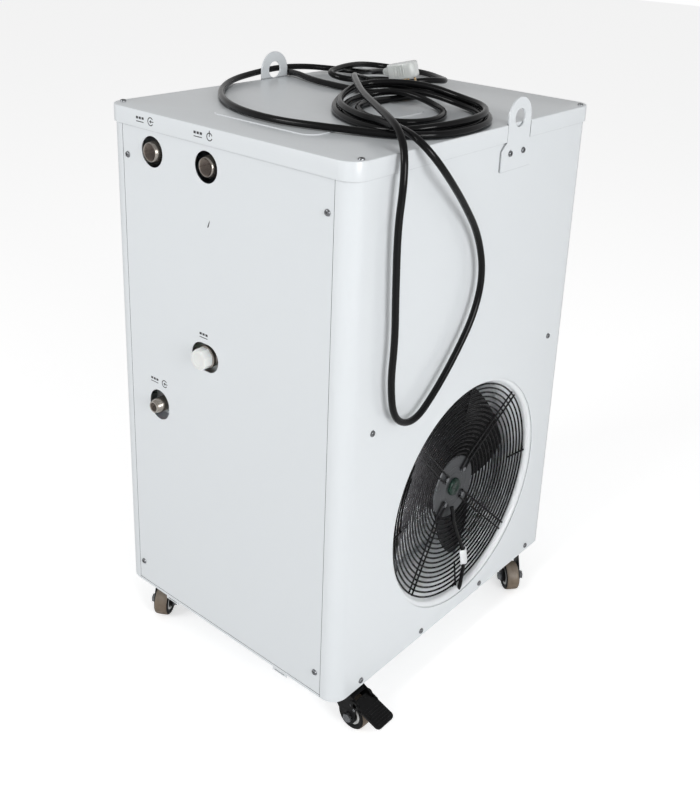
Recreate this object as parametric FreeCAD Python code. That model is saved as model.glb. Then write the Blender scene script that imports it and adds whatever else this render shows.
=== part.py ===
import FreeCAD, Part
import math
import os

# Portable water chiller for a laser machine: a powder-coated sheet-steel cabinet on four
# swivel casters, with a fan side, a louvred intake side, a water-port side and a control side.
# Millimetres, +Z up. The fan blows out of +X and the water ports face -Y.

V = FreeCAD.Vector
X_AXIS = V(1, 0, 0)
Y_AXIS = V(0, 1, 0)
Z_AXIS = V(0, 0, 1)

# Cabinet
cabinet_w = 470.0
cabinet_d = 576.0
cabinet_h = 810.0
caster_h = 75.0
sheet = 1.5
corner_r = 25.0
lid_lip = 25.0
lid_overhang = 3.0
seam_inset = 29.5
seam_flange = 22.0
seam_gap = 0.6
base_strip_h = 5.0

# Base pan, frame and shelf
pan_sheet = 2.5
pan_lip_h = 22.0
pan_tab_w = 29.0
pan_tab_drop = 5.0
pan_tab_x = 123.5
tube_w = 20.0
corner_in = 58.0
shelf_z = 328.0
shelf_sheet = 3.0
shelf_right_x = 58.0

# Pressed field in the lid
field_x = 8.0
field_y = -98.0
field_w = 200.0
field_d = 258.0
field_r = 24.0
field_rise = 1.2

# Lifting eyes
eye_w = 60.0
eye_t = 3.0
eye_hole_d = 27.0
eye_rise_fan = 7.0
eye_rise_intake = 14.0
eye_foot_w = 84.0
eye_foot_h = 42.0
eye_y_fan = 73.5
eye_y_intake = 52.0
eye_screw_pitch = 34.5

# Screws
screw_head_d = 9.0
screw_head_h = 2.4
screw_edge = 11.0
lid_screw_in = 7.0
side_screw_z = 426.0
base_screw_z = 11.0
base_screw_y = 82.0
end_screw_low = 40.0
end_screw_drop = 70.0
lid_screw_back = 20.5

# Water ports
port_z = 753.5
inlet_x = -140.0
outlet_x = -27.0
port_hole_d = 45.0
port_d = 31.0
port_bore_d = 24.2
port_depth = 20.0
port_pipe_d = 22.0
inlet_reach = 5.0
outlet_reach = 1.0
riser_gap = 10.0
refill_x = -34.5
refill_z = 469.0
refill_slot_w = 56.0
refill_slot_h = 43.0
refill_neck_d = 34.0
refill_bore_d = 27.0
refill_cap_w = 30.0
refill_cap_reach = 14.0
refill_cap_h = 15.0
drain_x = -141.0
drain_z = 353.5
drain_slot_w = 44.0
drain_slot_h = 49.0
drain_d = 23.0
drain_bore_d = 15.0
drain_reach = 12.0

# Fan
fan_y = 22.0
fan_z = 217.0
fan_hole_d = 384.0
throat_d = 368.0
bell_depth = 10.0
throat_depth = 60.0
duct_half = 196.0
duct_sheet = 1.2
guard_d = 362.0
guard_wire = 3.0
guard_rings = 17
guard_eye_d = 96.0
guard_rim_depth = 10.0
hub_depth = 28.0
spoke_gap = 12.0
spoke_root_r = 30.0
strut_reach = 42.0
hub_plate_d = 104.0
hub_plate_t = 3.0
hub_bolt_pitch = 46.0
hub_bolt_flats = 7.8
hub_cap_d = 30.0
stator_d = 84.0
stator_l = 12.0
fan_shaft_d = 12.0
rotor_d = 96.0
rotor_l = 58.0
blade_tip_d = 350.0
blade_count = 5
blade_t = 2.0
fan_cable_d = 6.5

# Inner machinery
condenser_depth = 122.0
condenser_t = 44.0
compressor_d = 150.0
compressor_h = 230.0
compressor_gap = 105.0
compressor_y = 60.0
exchanger_w = 76.0
exchanger_t = 60.0
exchanger_h = 210.0
exchanger_gap = 75.0
exchanger_back = 138.0
tank_w = 230.0
tank_d = 200.0
tank_h = 190.0
tank_x = -75.0
tank_gap = 24.5
pump_d = 110.0
pump_h = 150.0
pump_y = -130.0
ebox_w = 230.0
ebox_d = 90.0
ebox_h = 260.0
ebox_x = -85.0
ebox_y = 170.0

# Control side
display_w = 78.0
display_h = 36.0
display_reach = 4.0
display_x = -95.0
display_z = 690.0
key_d = 7.0
key_pitch = 16.0
switch_w = 30.0
switch_h = 24.0
switch_x = 95.0

# Casters
swivel_in = 37.0
plate_w = 60.0
plate_d = 52.0
plate_t = 3.0
wheel_d = 50.0
wheel_w = 24.0
wheel_trail = 30.0
axle_d = 8.0
fork_t = 2.5
fork_gap = 2.0
pedal_w = 38.0
pedal_t = 4.0
pedal_l = 52.0
pedal_slope = 17.0
pedal_x = 40.0
pedal_z = 54.0

# Name, corner signs, direction of the trail and whether it has a brake
caster_rest = (
    ("near", 1, -1, 0, True),
    ("left", -1, -1, -60, False),
    ("right", 1, 1, -40, False),
    ("far", -1, 1, 180, True),
)

# Intake louvres on the -X side
louvre_rows = 14
louvre_w = 150.0
louvre_h = 8.0
louvre_pitch = 24.0
louvre_low = 60.0
louvre_x_gap = 24.0

rocker_tilt = 8.0

# Cord gland on the intake side
gland_y = 112.0
gland_z = 600.0
gland_thread_d = 20.0
gland_flats = 27.0
gland_reach = 16.0

# Cord: heights are given over the lid's top, where the cord lies with its centre lie_h above
cord_d = 10.0
lie_h = cord_d / 2 + 0.3
coil_w = 34.0
coil_h = 22.0
coil_lift = 1.5

# Plug: it stands on its blades by the far edge of the coil, tilted up away from its lead
plug_x = -13.0
plug_y = 117.0
plug_h = 36.0
plug_heading = 18.0
plug_tilt = 14.0
boot_heading = -18.0
boot_droop = 8.0
plug_l = 48.0
plug_w = 30.0
plug_t = 26.0
plug_boot_l = 24.0
plug_boot_in = 8.0
blade_w = 6.4
blade_flat = 1.6
blade_l = 18.0

half_w = cabinet_w / 2
half_d = cabinet_d / 2
base_z = caster_h
top_z = caster_h + cabinet_h
lip_z = top_z - lid_lip
seam_x = half_w - seam_inset
inner_w = half_w - sheet
inner_d = half_d - sheet
fan_axis = V(half_w, fan_y, base_z + fan_z)
post_y = half_d - corner_in
swivel_x = half_w - swivel_in
swivel_y = post_y
end_screw_x = seam_x - screw_edge
lid_screw_x = half_w - lid_screw_in
lid_screw_y = half_d - lid_screw_back
tank_front_y = tank_gap - inner_d
riser_y = tank_front_y + riser_gap

shapes = {}


def box(x0, x1, y0, y1, z0, z1):
    """A block between two corners."""
    return Part.makeBox(x1 - x0, y1 - y0, z1 - z0, V(x0, y0, z0))


def rod(centre, axis, d, length):
    """A cylinder of diameter d that starts at centre and runs along axis."""
    return Part.makeCylinder(d / 2, length, centre, axis)


def ring(centre, axis, d_out, d_in, length):
    """A plain sleeve."""
    outer = rod(centre, axis, d_out, length)
    return outer.cut(rod(centre, axis, d_in, length))


def slab(points, lift):
    """A prism over a closed outline of points."""
    return Part.Face(Part.makePolygon(points + points[:1])).extrude(lift)


def rounded_rect(cx, cy, w, d, r, z):
    """The face of a rectangle with round corners, level at z."""
    plain = box(cx - w / 2, cx + w / 2, cy - d / 2, cy + d / 2, z, z + 1)
    edges = [e for e in plain.Edges if abs(e.Vertexes[0].Z - e.Vertexes[-1].Z) > 0.5]
    solid = plain.makeFillet(r, edges)
    return [f for f in solid.Faces if abs(f.CenterOfMass.z - z) < 1e-6][0]


def rounded_block(cx, cy, w, d, r, z0, z1):
    """An upright block with round corners."""
    return rounded_rect(cx, cy, w, d, r, z0).extrude(V(0, 0, z1 - z0))


def fuse(first, *rest):
    """Joins solids into one and cleans the seams."""
    return first.fuse(list(rest)).removeSplitter()


def group(solids):
    """Separate solids that share one sub-part."""
    return Part.makeCompound(solids)


def slot_y(cx, cz, w, h, y0, y1):
    """A slot with round ends that runs through a sheet along Y."""
    r = min(w, h) / 2
    if w > h:
        ends = [V(cx - w / 2 + r, y0, cz), V(cx + w / 2 - r, y0, cz)]
        middle = box(cx - w / 2 + r, cx + w / 2 - r, y0, y1, cz - r, cz + r)
    else:
        ends = [V(cx, y0, cz - h / 2 + r), V(cx, y0, cz + h / 2 - r)]
        middle = box(cx - r, cx + r, y0, y1, cz - h / 2 + r, cz + h / 2 - r)
    return fuse(middle, *[rod(end, Y_AXIS, 2 * r, y1 - y0) for end in ends])


def side_profile():
    """The plan of the fan side panel: a face with two round corners and joggled seams."""
    k = math.sqrt(0.5)
    in_r = corner_r - sheet
    cx = half_w - corner_r
    cy = half_d - corner_r
    low = [V(seam_x - seam_flange, -inner_d, 0), V(seam_x, -inner_d, 0), V(seam_x, -half_d, 0)]
    high = [V(p.x, -p.y, 0) for p in reversed(low)]
    edges = [Part.LineSegment(a, b) for a, b in zip(low, low[1:])]
    edges.append(Part.LineSegment(low[-1], V(cx, -half_d, 0)))
    edges.append(Part.Arc(V(cx, -half_d, 0), V(cx + corner_r * k, -cy - corner_r * k, 0), V(half_w, -cy, 0)))
    edges.append(Part.LineSegment(V(half_w, -cy, 0), V(half_w, cy, 0)))
    edges.append(Part.Arc(V(half_w, cy, 0), V(cx + corner_r * k, cy + corner_r * k, 0), V(cx, half_d, 0)))
    edges.append(Part.LineSegment(V(cx, half_d, 0), high[0]))
    edges += [Part.LineSegment(a, b) for a, b in zip(high, high[1:])]
    step = seam_x + sheet
    inner = [high[-1], V(high[-1].x, inner_d - sheet, 0), V(step, inner_d - sheet, 0), V(step, inner_d, 0)]
    edges += [Part.LineSegment(a, b) for a, b in zip(inner, inner[1:])]
    edges.append(Part.LineSegment(inner[-1], V(cx, inner_d, 0)))
    edges.append(Part.Arc(V(cx, inner_d, 0), V(cx + in_r * k, cy + in_r * k, 0), V(inner_w, cy, 0)))
    edges.append(Part.LineSegment(V(inner_w, cy, 0), V(inner_w, -cy, 0)))
    edges.append(Part.Arc(V(inner_w, -cy, 0), V(cx + in_r * k, -cy - in_r * k, 0), V(cx, -inner_d, 0)))
    back = [V(p.x, -p.y, 0) for p in reversed(inner)]
    edges.append(Part.LineSegment(V(cx, -inner_d, 0), back[0]))
    edges += [Part.LineSegment(a, b) for a, b in zip(back, back[1:])]
    wire = Part.Wire([e.toShape() for e in edges])
    return Part.Face(wire)


def side_panel():
    """A side panel without openings, on the fan side."""
    face = side_profile()
    panel_top = top_z - 2 * sheet
    solid = face.extrude(V(0, 0, panel_top - base_z))
    solid.translate(V(0, 0, base_z))
    return solid


def mirrored(solid):
    """The same solid turned half round about Z, on the other side."""
    copy = solid.copy()
    copy.rotate(V(0, 0, 0), Z_AXIS, 180)
    return copy


def make_side_panels():
    """The fan panel has the round opening, the intake panel two columns of louvre slots."""
    hole = rod(V(half_w - 3 * sheet, fan_y, fan_axis.z), X_AXIS, fan_hole_d, 6 * sheet)
    fan_panel = side_panel().cut(hole)
    slots = []
    for row in range(louvre_rows):
        z = base_z + louvre_low + row * louvre_pitch
        for side in (-1, 1):
            y = side * (louvre_w + louvre_x_gap) / 2
            slots.append(box(-half_w - 1, -inner_w + 1, y - louvre_w / 2, y + louvre_w / 2, z, z + louvre_h))
    gland_hole = rod(V(-half_w - 1, gland_y, base_z + gland_z), X_AXIS, gland_thread_d, 3 * sheet)
    intake_panel = mirrored(side_panel()).cut(slots + [gland_hole])
    shapes["panel_fan"] = fan_panel
    shapes["panel_intake"] = intake_panel


def end_panel(side):
    """A flat end panel that lies on the seam flanges; side is -1 for the ports."""
    edge = seam_x - seam_gap
    y = sorted((side * half_d, side * inner_d))
    return box(-edge, edge, y[0], y[1], base_z + base_strip_h, top_z - 2 * sheet)


def make_port_panel():
    """The end panel with the two round port holes, the refill slot and the drain slot."""
    y0 = -half_d - 1
    y1 = -inner_d + 1
    cuts = [rod(V(x, y0, base_z + port_z), Y_AXIS, port_hole_d, y1 - y0) for x in (inlet_x, outlet_x)]
    cuts.append(slot_y(refill_x, base_z + refill_z, refill_slot_w, refill_slot_h, y0, y1))
    cuts.append(slot_y(drain_x, base_z + drain_z, drain_slot_w, drain_slot_h, y0, y1))
    shapes["panel_ports"] = end_panel(-1).cut(cuts)


def make_control_panel():
    """The opposite end panel, cut for the display and the main switch."""
    y0 = inner_d - 1
    y1 = half_d + 1
    w = display_w / 2 - 3
    h = display_h / 2 - 3
    z = base_z + display_z
    window = box(display_x - w, display_x + w, y0, y1, z - h, z + h)
    hole = box(switch_x - switch_w / 2 + 2, switch_x + switch_w / 2 - 2, y0, y1, z - switch_h / 2 + 2,
               z + switch_h / 2 - 2)
    shapes["panel_control"] = end_panel(1).cut([window, hole])


def make_base_pan():
    """The floor tray, its upturned lips inside the side panels and the strips under the end panels."""
    z0 = base_z
    floor_d = 2 * (inner_d - sheet)
    floor = rounded_block(0, 0, 2 * inner_w, floor_d, corner_r - sheet, z0, z0 + pan_sheet)
    lips = []
    lip_y = half_d - corner_r
    for side in (-1, 1):
        x = sorted((side * inner_w, side * (inner_w - pan_sheet)))
        lips.append(box(x[0], x[1], -lip_y, lip_y, z0, z0 + pan_lip_h))
        y = sorted((side * half_d, side * inner_d))
        edge = seam_x - seam_gap
        lips.append(box(-edge, edge, y[0], y[1], z0, z0 + base_strip_h - seam_gap))
        y = sorted((side * inner_d, side * (floor_d / 2 - 1)))
        edge = seam_x - seam_flange - seam_gap
        lips.append(box(-edge, edge, y[0], y[1], z0, z0 + pan_sheet))
    for x in (-pan_tab_x, pan_tab_x):
        y = -half_d
        tab = box(x - pan_tab_w / 2, x + pan_tab_w / 2, y, y + sheet, z0 - pan_tab_drop, z0 + sheet)
        lips.append(tab.cut(box(x - 10, x + 10, y - 1, y + sheet + 1, z0 - 3.4, z0 - 1.4)))
    shapes["base_pan"] = fuse(floor, *lips)


def make_frame():
    """The welded inner frame: four posts, a top ring, two middle rails and the shelf."""
    z0 = base_z + pan_sheet
    z1 = top_z - sheet
    h = tube_w / 2
    px = inner_w - pan_sheet - h
    parts = []
    for sx in (-1, 1):
        for sy in (-1, 1):
            x = sx * px
            y = sy * post_y
            parts.append(box(x - h, x + h, y - h, y + h, z0, z1))
        parts.append(box(sx * px - h, sx * px + h, -post_y, post_y, z1 - tube_w, z1))
    rail_top = base_z + shelf_z
    for sy in (-1, 1):
        y = sy * post_y
        parts.append(box(-px, px, y - h, y + h, z1 - tube_w, z1))
        parts.append(box(-px, px, y - h, y + h, rail_top - tube_w, rail_top))
    shelf_front = tank_front_y - 4
    shelf = box(-px - h, shelf_right_x, shelf_front, post_y + h, rail_top, rail_top + shelf_sheet)
    shapes["frame"] = fuse(parts[0], *parts[1:], shelf)


def make_lid():
    """The folded lid with its lip, the pressed field and the two notches for the lifting eyes."""
    w = cabinet_w + 2 * lid_overhang
    d = cabinet_d + 2 * lid_overhang
    r = corner_r + lid_overhang
    outer = rounded_block(0, 0, w, d, r, lip_z, top_z)
    rim = [e for e in outer.Edges if all(abs(v.Z - top_z) < 1e-6 for v in e.Vertexes)]
    outer = outer.makeFillet(sheet, rim)
    inner = rounded_block(0, 0, w - 2 * sheet, d - 2 * sheet, r - sheet, lip_z - 1, top_z - sheet)
    shell = outer.cut(inner)
    field = rounded_block(field_x, field_y, field_w, field_d, field_r, top_z - 0.1, top_z + field_rise)
    crown = [e for e in field.Edges if all(abs(v.Z - top_z - field_rise) < 1e-6 for v in e.Vertexes)]
    field = field.makeChamfer(0.9 * field_rise, crown)
    pocket = rounded_block(field_x, field_y, field_w - 2 * sheet, field_d - 2 * sheet, field_r - sheet,
                           top_z - sheet - 0.1, top_z - sheet + field_rise)
    shell = shell.fuse(field).cut(pocket)
    notches = []
    for side, y in ((1, eye_y_fan), (-1, eye_y_intake)):
        x = sorted((side * half_w, side * (half_w + 2 * lid_overhang)))
        half = eye_w / 2 + 1
        notches.append(box(x[0] - 0.2, x[1] + 0.2, y - half, y + half, lip_z - 1, top_z + 1))
    shapes["lid"] = shell.cut(notches).removeSplitter()


def lifting_eye(side, y, rise):
    """A flat steel plate with a round top and hole, on a wider foot below the lid's lip."""
    x0 = side * half_w
    lift = V(side * eye_t, 0, 0)
    r = eye_w / 2
    centre_z = top_z + rise
    neck_z = lip_z - 0.5
    foot_z = neck_z - eye_foot_h
    f = eye_foot_w / 2
    slope = f - r
    outline = [V(x0, y - r, centre_z), V(x0, y - r, neck_z), V(x0, y - f, neck_z - slope), V(x0, y - f, foot_z),
               V(x0, y + f, foot_z), V(x0, y + f, neck_z - slope), V(x0, y + r, neck_z), V(x0, y + r, centre_z)]
    plate = fuse(slab(outline, lift), rod(V(x0, y, centre_z), V(side, 0, 0), eye_w, eye_t))
    return plate.cut(rod(V(x0 - side, y, centre_z), V(side, 0, 0), eye_hole_d, eye_t + 2))


def make_lifting_eyes():
    shapes["lifting_eye_fan"] = lifting_eye(1, eye_y_fan, eye_rise_fan)
    shapes["lifting_eye_intake"] = lifting_eye(-1, eye_y_intake, eye_rise_intake)


def screw(head, out, d=None, h=None):
    """A button-head screw: head is where its seat meets the sheet, out points away from it."""
    d = d or screw_head_d
    h = h or screw_head_h
    dome = rod(head, out, d, h)
    rim = [e for e in dome.Edges if len(e.Vertexes) == 1 and abs((e.Vertexes[0].Point - head).dot(out) - h) < 1e-6]
    return dome.makeChamfer(0.45 * h, rim)


def make_screws():
    """Screw heads: four on each end panel, six on each side panel, four on the lid, two per eye."""
    panel = []
    for side in (-1, 1):
        out = V(0, side, 0)
        for x in (-end_screw_x, end_screw_x):
            for z in (end_screw_low, cabinet_h - end_screw_drop):
                panel.append(screw(V(x, side * half_d, base_z + z), out))
        out = V(side, 0, 0)
        for y in (-post_y, post_y):
            panel.append(screw(V(side * half_w, y, base_z + side_screw_z), out))
        for y in (-post_y, -base_screw_y, base_screw_y, post_y):
            panel.append(screw(V(side * half_w, y, base_z + base_screw_z), out))
    shapes["panel_screws"] = group(panel)
    lid = [screw(V(x, y, top_z), Z_AXIS) for x in (-lid_screw_x, lid_screw_x) for y in (-lid_screw_y, lid_screw_y)]
    shapes["lid_screws"] = group(lid)
    eye = []
    z = lip_z - 0.5 - eye_foot_h / 2 + 4
    for side, y in ((1, eye_y_fan - 3), (-1, eye_y_intake - 3)):
        for step in (-0.5, 0.5):
            head = V(side * (half_w + eye_t), y + step * eye_screw_pitch, z)
            eye.append(screw(head, V(side, 0, 0)))
    shapes["eye_screws"] = group(eye)


def port_coupling(x, reach):
    """A round coupling with an inner thread bore, its mouth towards -Y."""
    mouth = V(x, -half_d - reach, base_z + port_z)
    body = rod(mouth, Y_AXIS, port_d, riser_y - mouth.y)
    knuckle = Part.makeSphere(port_d / 2, V(x, riser_y, base_z + port_z))
    rim = [e for e in body.Edges if len(e.Vertexes) == 1 and abs(e.Vertexes[0].Y - mouth.y) < 1e-6]
    return fuse(body.makeChamfer(1.0, rim), knuckle)


def make_water_pipes():
    """The return pipe drops into the tank, the supply pipe comes up from the pump beside it."""
    bore = V(0, 0, base_z + port_z)
    tank_top = base_z + shelf_z + shelf_sheet + tank_h
    riser = rod(V(inlet_x, riser_y, tank_top), Z_AXIS, port_pipe_d, bore.z - tank_top)
    mouth = V(inlet_x, -half_d - inlet_reach - 1, bore.z)
    inlet = fuse(port_coupling(inlet_x, inlet_reach), riser)
    shapes["inlet_pipe"] = inlet.cut(rod(mouth, Y_AXIS, port_bore_d, port_depth + 1))
    turn = V(outlet_x, riser_y, tank_top + pump_h / 2)
    riser = rod(turn, Z_AXIS, port_pipe_d, bore.z - turn.z)
    knee = Part.makeSphere(port_pipe_d / 2, turn)
    feed = rod(turn, Y_AXIS, port_pipe_d, pump_y - pump_d / 2 - turn.y + 2)
    feed = feed.cut(rod(V(outlet_x, pump_y, tank_top), Z_AXIS, pump_d, pump_h))
    outlet = fuse(port_coupling(outlet_x, outlet_reach), riser, knee, feed)
    mouth = V(outlet_x, -half_d - outlet_reach - 1, bore.z)
    shapes["outlet_pipe"] = outlet.cut(rod(mouth, Y_AXIS, port_bore_d, port_depth + 1))


def make_tank_side():
    """The tank on the shelf, its pump, refill neck, refill cap and drain stub."""
    z0 = base_z + shelf_z + shelf_sheet
    back_y = tank_front_y + tank_d
    tank = rounded_block(tank_x, (tank_front_y + back_y) / 2, tank_w, tank_d, 16, z0, z0 + tank_h)
    shapes["water_tank"] = tank
    foot = V(outlet_x, pump_y, z0 + tank_h)
    motor = rod(foot, Z_AXIS, pump_d, pump_h)
    rim = [e for e in motor.Edges if len(e.Vertexes) == 1 and abs(e.Vertexes[0].Z - foot.z - pump_h) < 1e-6]
    shapes["water_pump"] = motor.makeFillet(14, rim)
    end_y = -half_d - refill_cap_reach + refill_cap_h
    neck = rod(V(refill_x, end_y, base_z + refill_z), Y_AXIS, refill_neck_d, tank_front_y - end_y)
    bore = rod(V(refill_x, end_y - 1, base_z + refill_z), Y_AXIS, refill_bore_d, tank_front_y - end_y - 5)
    shapes["refill_neck"] = neck.cut(bore)
    shapes["refill_cap"] = refill_cap(end_y)
    mouth = V(drain_x, -half_d - drain_reach, base_z + drain_z)
    stub = rod(mouth, Y_AXIS, drain_d, tank_front_y - mouth.y)
    rim = [e for e in stub.Edges if len(e.Vertexes) == 1 and abs(e.Vertexes[0].Y - mouth.y) < 1e-6]
    stub = stub.makeChamfer(1.6, rim)
    shapes["drain_pipe"] = stub.cut(rod(mouth - Y_AXIS, Y_AXIS, drain_bore_d, port_depth + 1))


def refill_cap(seat_y):
    """The white plug: an eight-sided head that seats on the neck and a spigot inside it."""
    r = refill_cap_w / 2
    z = base_z + refill_z
    corners = []
    for i in range(8):
        a = math.radians(22.5 + 45 * i)
        c = r / math.cos(math.radians(22.5))
        corners.append(V(refill_x + c * math.cos(a), seat_y, z + c * math.sin(a)))
    head = slab(corners, V(0, -refill_cap_h, 0))
    front = [e for e in head.Edges if all(abs(v.Y - seat_y + refill_cap_h) < 1e-6 for v in e.Vertexes)]
    head = head.makeChamfer(1.8, front)
    spigot = rod(V(refill_x, seat_y, z), Y_AXIS, refill_bore_d - 0.1, 12)
    return fuse(head, spigot)


def at_depth(u, r=0.0, angle=0.0, side=0.0):
    """A point u behind the fan side's face, at radius r and angle from the fan's axis."""
    a = math.radians(angle)
    y = r * math.cos(a) - side * math.sin(a)
    z = r * math.sin(a) + side * math.cos(a)
    return V(half_w - u, fan_axis.y + y, fan_axis.z + z)


def make_duct():
    """The white fan duct: a belled throat behind the round opening and a box to the condenser."""
    r0 = fan_hole_d / 2
    r1 = throat_d / 2
    t = duct_sheet
    k = math.sqrt(0.5)
    fall = r0 - r1
    bell_mid = V(half_w - sheet - (bell_depth - sheet) * (1 - k), fan_y + r1 + fall * (1 - k), fan_axis.z)
    a = at_depth(sheet, r0)
    b = at_depth(bell_depth, r1)
    c = at_depth(throat_depth, r1)
    out = V(0, t, 0)
    edges = [Part.Arc(a, bell_mid, b), Part.LineSegment(b, c), Part.LineSegment(c, c + out)]
    edges += [Part.LineSegment(c + out, b + out), Part.Arc(b + out, bell_mid + out, a + out)]
    edges.append(Part.LineSegment(a + out, a))
    face = Part.Face(Part.Wire([e.toShape() for e in edges]))
    bell = face.revolve(at_depth(0), X_AXIS, 360)
    h = duct_half
    y = fan_axis.y
    z = fan_axis.z
    x0 = half_w - condenser_depth
    x1 = half_w - throat_depth + t
    housing = box(x0, x1, y - h, y + h, z - h, z + h)
    housing = housing.cut(box(x0 - 1, x1 - t, y - h + t, y + h - t, z - h + t, z + h - t))
    housing = housing.cut(rod(at_depth(throat_depth + 1), X_AXIS, throat_d + t, 9))
    shapes["fan_duct"] = fuse(bell, housing)


def cone_depth(r):
    """How deep the dished guard lies at radius r."""
    r0 = hub_plate_d / 2
    r1 = guard_d / 2
    share = (r1 - max(r, r0)) / (r1 - r0)
    return guard_rim_depth + share * (hub_depth - guard_rim_depth)


def guard_bar(r0, r1, angle, side):
    """A straight wire in front of the rings, from radius r0 to r1, shifted sideways by side."""
    w = guard_wire
    bend = hub_plate_d / 2
    inside = [r for r in (bend,) if r0 < r < r1]
    radii = [r0] + inside + [r1]
    back = [at_depth(cone_depth(r), r, angle, side - w / 2) for r in radii]
    front = [at_depth(cone_depth(r) - w, r, angle, side - w / 2) for r in reversed(radii)]
    a = math.radians(angle)
    return slab(back + front, V(0, -math.sin(a) * w, math.cos(a) * w))


def make_guard():
    """The dished wire guard: concentric rings under four pairs of spokes, short struts and lugs."""
    w = guard_wire
    first = hub_plate_d / 2 + 5
    step = (guard_d / 2 - w / 2 - first) / (guard_rings - 1)
    parts = []
    for i in range(guard_rings):
        r = first + i * step
        parts.append(ring(at_depth(cone_depth(r) + w - 0.6), X_AXIS, 2 * r + w, 2 * r - w, w))
    for i in range(4):
        diagonal = 45 + 90 * i
        for side in (-spoke_gap / 2, spoke_gap / 2):
            parts.append(guard_bar(spoke_root_r, guard_d / 2, diagonal, side))
        straight = 90 * i
        parts.append(guard_bar(guard_d / 2 - strut_reach, guard_d / 2, straight, 0))
        parts.append(guard_lug(straight))
    shapes["fan_guard"] = fuse(parts[0], *parts[1:])


def guard_lug(angle):
    """A lug from the outer ring to the throat's wall."""
    w = guard_wire
    outer = throat_d / 2 + 3
    inner = guard_d / 2 - w
    corners = [at_depth(guard_rim_depth + 1, r, angle, s) for r, s in ((inner, -5), (outer, -5), (outer, 5),
                                                                     (inner, 5))]
    block = slab(corners, V(-14, 0, 0))
    return block.common(rod(at_depth(throat_depth), X_AXIS, throat_d, throat_depth))


def make_stator():
    """The motor's fixed part: the grey hub plate, the winding pot and the shaft."""
    plate = rod(at_depth(hub_depth + hub_plate_t), X_AXIS, hub_plate_d, hub_plate_t)
    back = hub_depth + hub_plate_t + stator_l
    pot = rod(at_depth(back), X_AXIS, stator_d, stator_l)
    shaft = rod(at_depth(back + rotor_l), X_AXIS, fan_shaft_d, rotor_l)
    shapes["fan_stator"] = fuse(plate, pot, shaft)


def hexagon(centre, out, flats, h):
    """A six-sided bolt head that stands on centre along out."""
    side = V(0, 0, 1) if abs(out.z) < 0.5 else V(1, 0, 0)
    turn = FreeCAD.Rotation(out, 60)
    corner = side * (flats / math.sqrt(3))
    corners = []
    for _ in range(6):
        corners.append(centre + corner)
        corner = turn.multVec(corner)
    return slab(corners, out * h)


def make_hub_fittings():
    """Four bolts through the spoke roots and the round cap at the centre."""
    h = hub_bolt_pitch / 2
    heads = []
    for y in (-h, h):
        for z in (-h, h):
            seat = at_depth(hub_depth) + V(0, y, z)
            heads.append(hexagon(seat, X_AXIS, hub_bolt_flats, 4.0))
    shapes["guard_bolts"] = group(heads)
    cap = rod(at_depth(hub_depth), X_AXIS, hub_cap_d, 5)
    rim = [e for e in cap.Edges if len(e.Vertexes) == 1 and abs(e.Vertexes[0].X - half_w + hub_depth - 5) < 1e-6]
    shapes["hub_cap"] = cap.makeFillet(2.5, rim)


def blade_section(r, chord, pitch, lead, camber, u_mid):
    """A thin cambered section at radius r, turned by pitch and moved round by lead."""
    across = V(0, math.sin(math.radians(-lead)), math.cos(math.radians(-lead)))
    radial = V(0, math.cos(math.radians(lead)), math.sin(math.radians(lead)))
    centre = at_depth(u_mid) + radial * r
    along = V(0, -radial.z, radial.y) * math.cos(math.radians(pitch)) - X_AXIS * math.sin(math.radians(pitch))
    normal = radial.cross(along)
    t = blade_t / 2
    head = centre - along * (chord / 2)
    tail = centre + along * (chord / 2)
    top = centre + normal * (camber + t)
    low = centre + normal * (camber - t)
    edges = [Part.Arc(head + normal * t * 0.4, top, tail + normal * t * 0.4),
             Part.LineSegment(tail + normal * t * 0.4, tail - normal * t * 0.4),
             Part.Arc(tail - normal * t * 0.4, low, head - normal * t * 0.4),
             Part.LineSegment(head - normal * t * 0.4, head + normal * t * 0.4)]
    return Part.Wire([e.toShape() for e in edges])


def make_rotor():
    """The turning part: the motor can with five broad sickle blades."""
    front = hub_depth + hub_plate_t + stator_l + 1
    u_mid = front + rotor_l / 2
    can = rod(at_depth(front + rotor_l - 2), X_AXIS, rotor_d, rotor_l - 2)
    rim = [e for e in can.Edges if len(e.Vertexes) == 1]
    can = can.makeFillet(4, rim)
    root = blade_section(rotor_d / 2 - 6, 62, 38, 0, 5, u_mid)
    middle = blade_section(rotor_d / 4 + blade_tip_d / 4, 92, 28, 6, 7, u_mid)
    tip = blade_section(blade_tip_d / 2 + 4, 128, 20, 20, 6, u_mid)
    blade = Part.makeLoft([root, middle, tip], True, False)
    blade = blade.common(rod(at_depth(front + rotor_l + 20), X_AXIS, blade_tip_d, rotor_l + 40))
    blades = []
    for i in range(blade_count):
        copy = blade.copy()
        copy.rotate(at_depth(0), X_AXIS, 360 / blade_count * i)
        blades.append(copy)
    rotor = can.fuse(blades)
    bore = rod(at_depth(front + rotor_l), X_AXIS, fan_shaft_d + 0.1, rotor_l + 2)
    shapes["fan_rotor"] = rotor.cut(bore)


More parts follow.
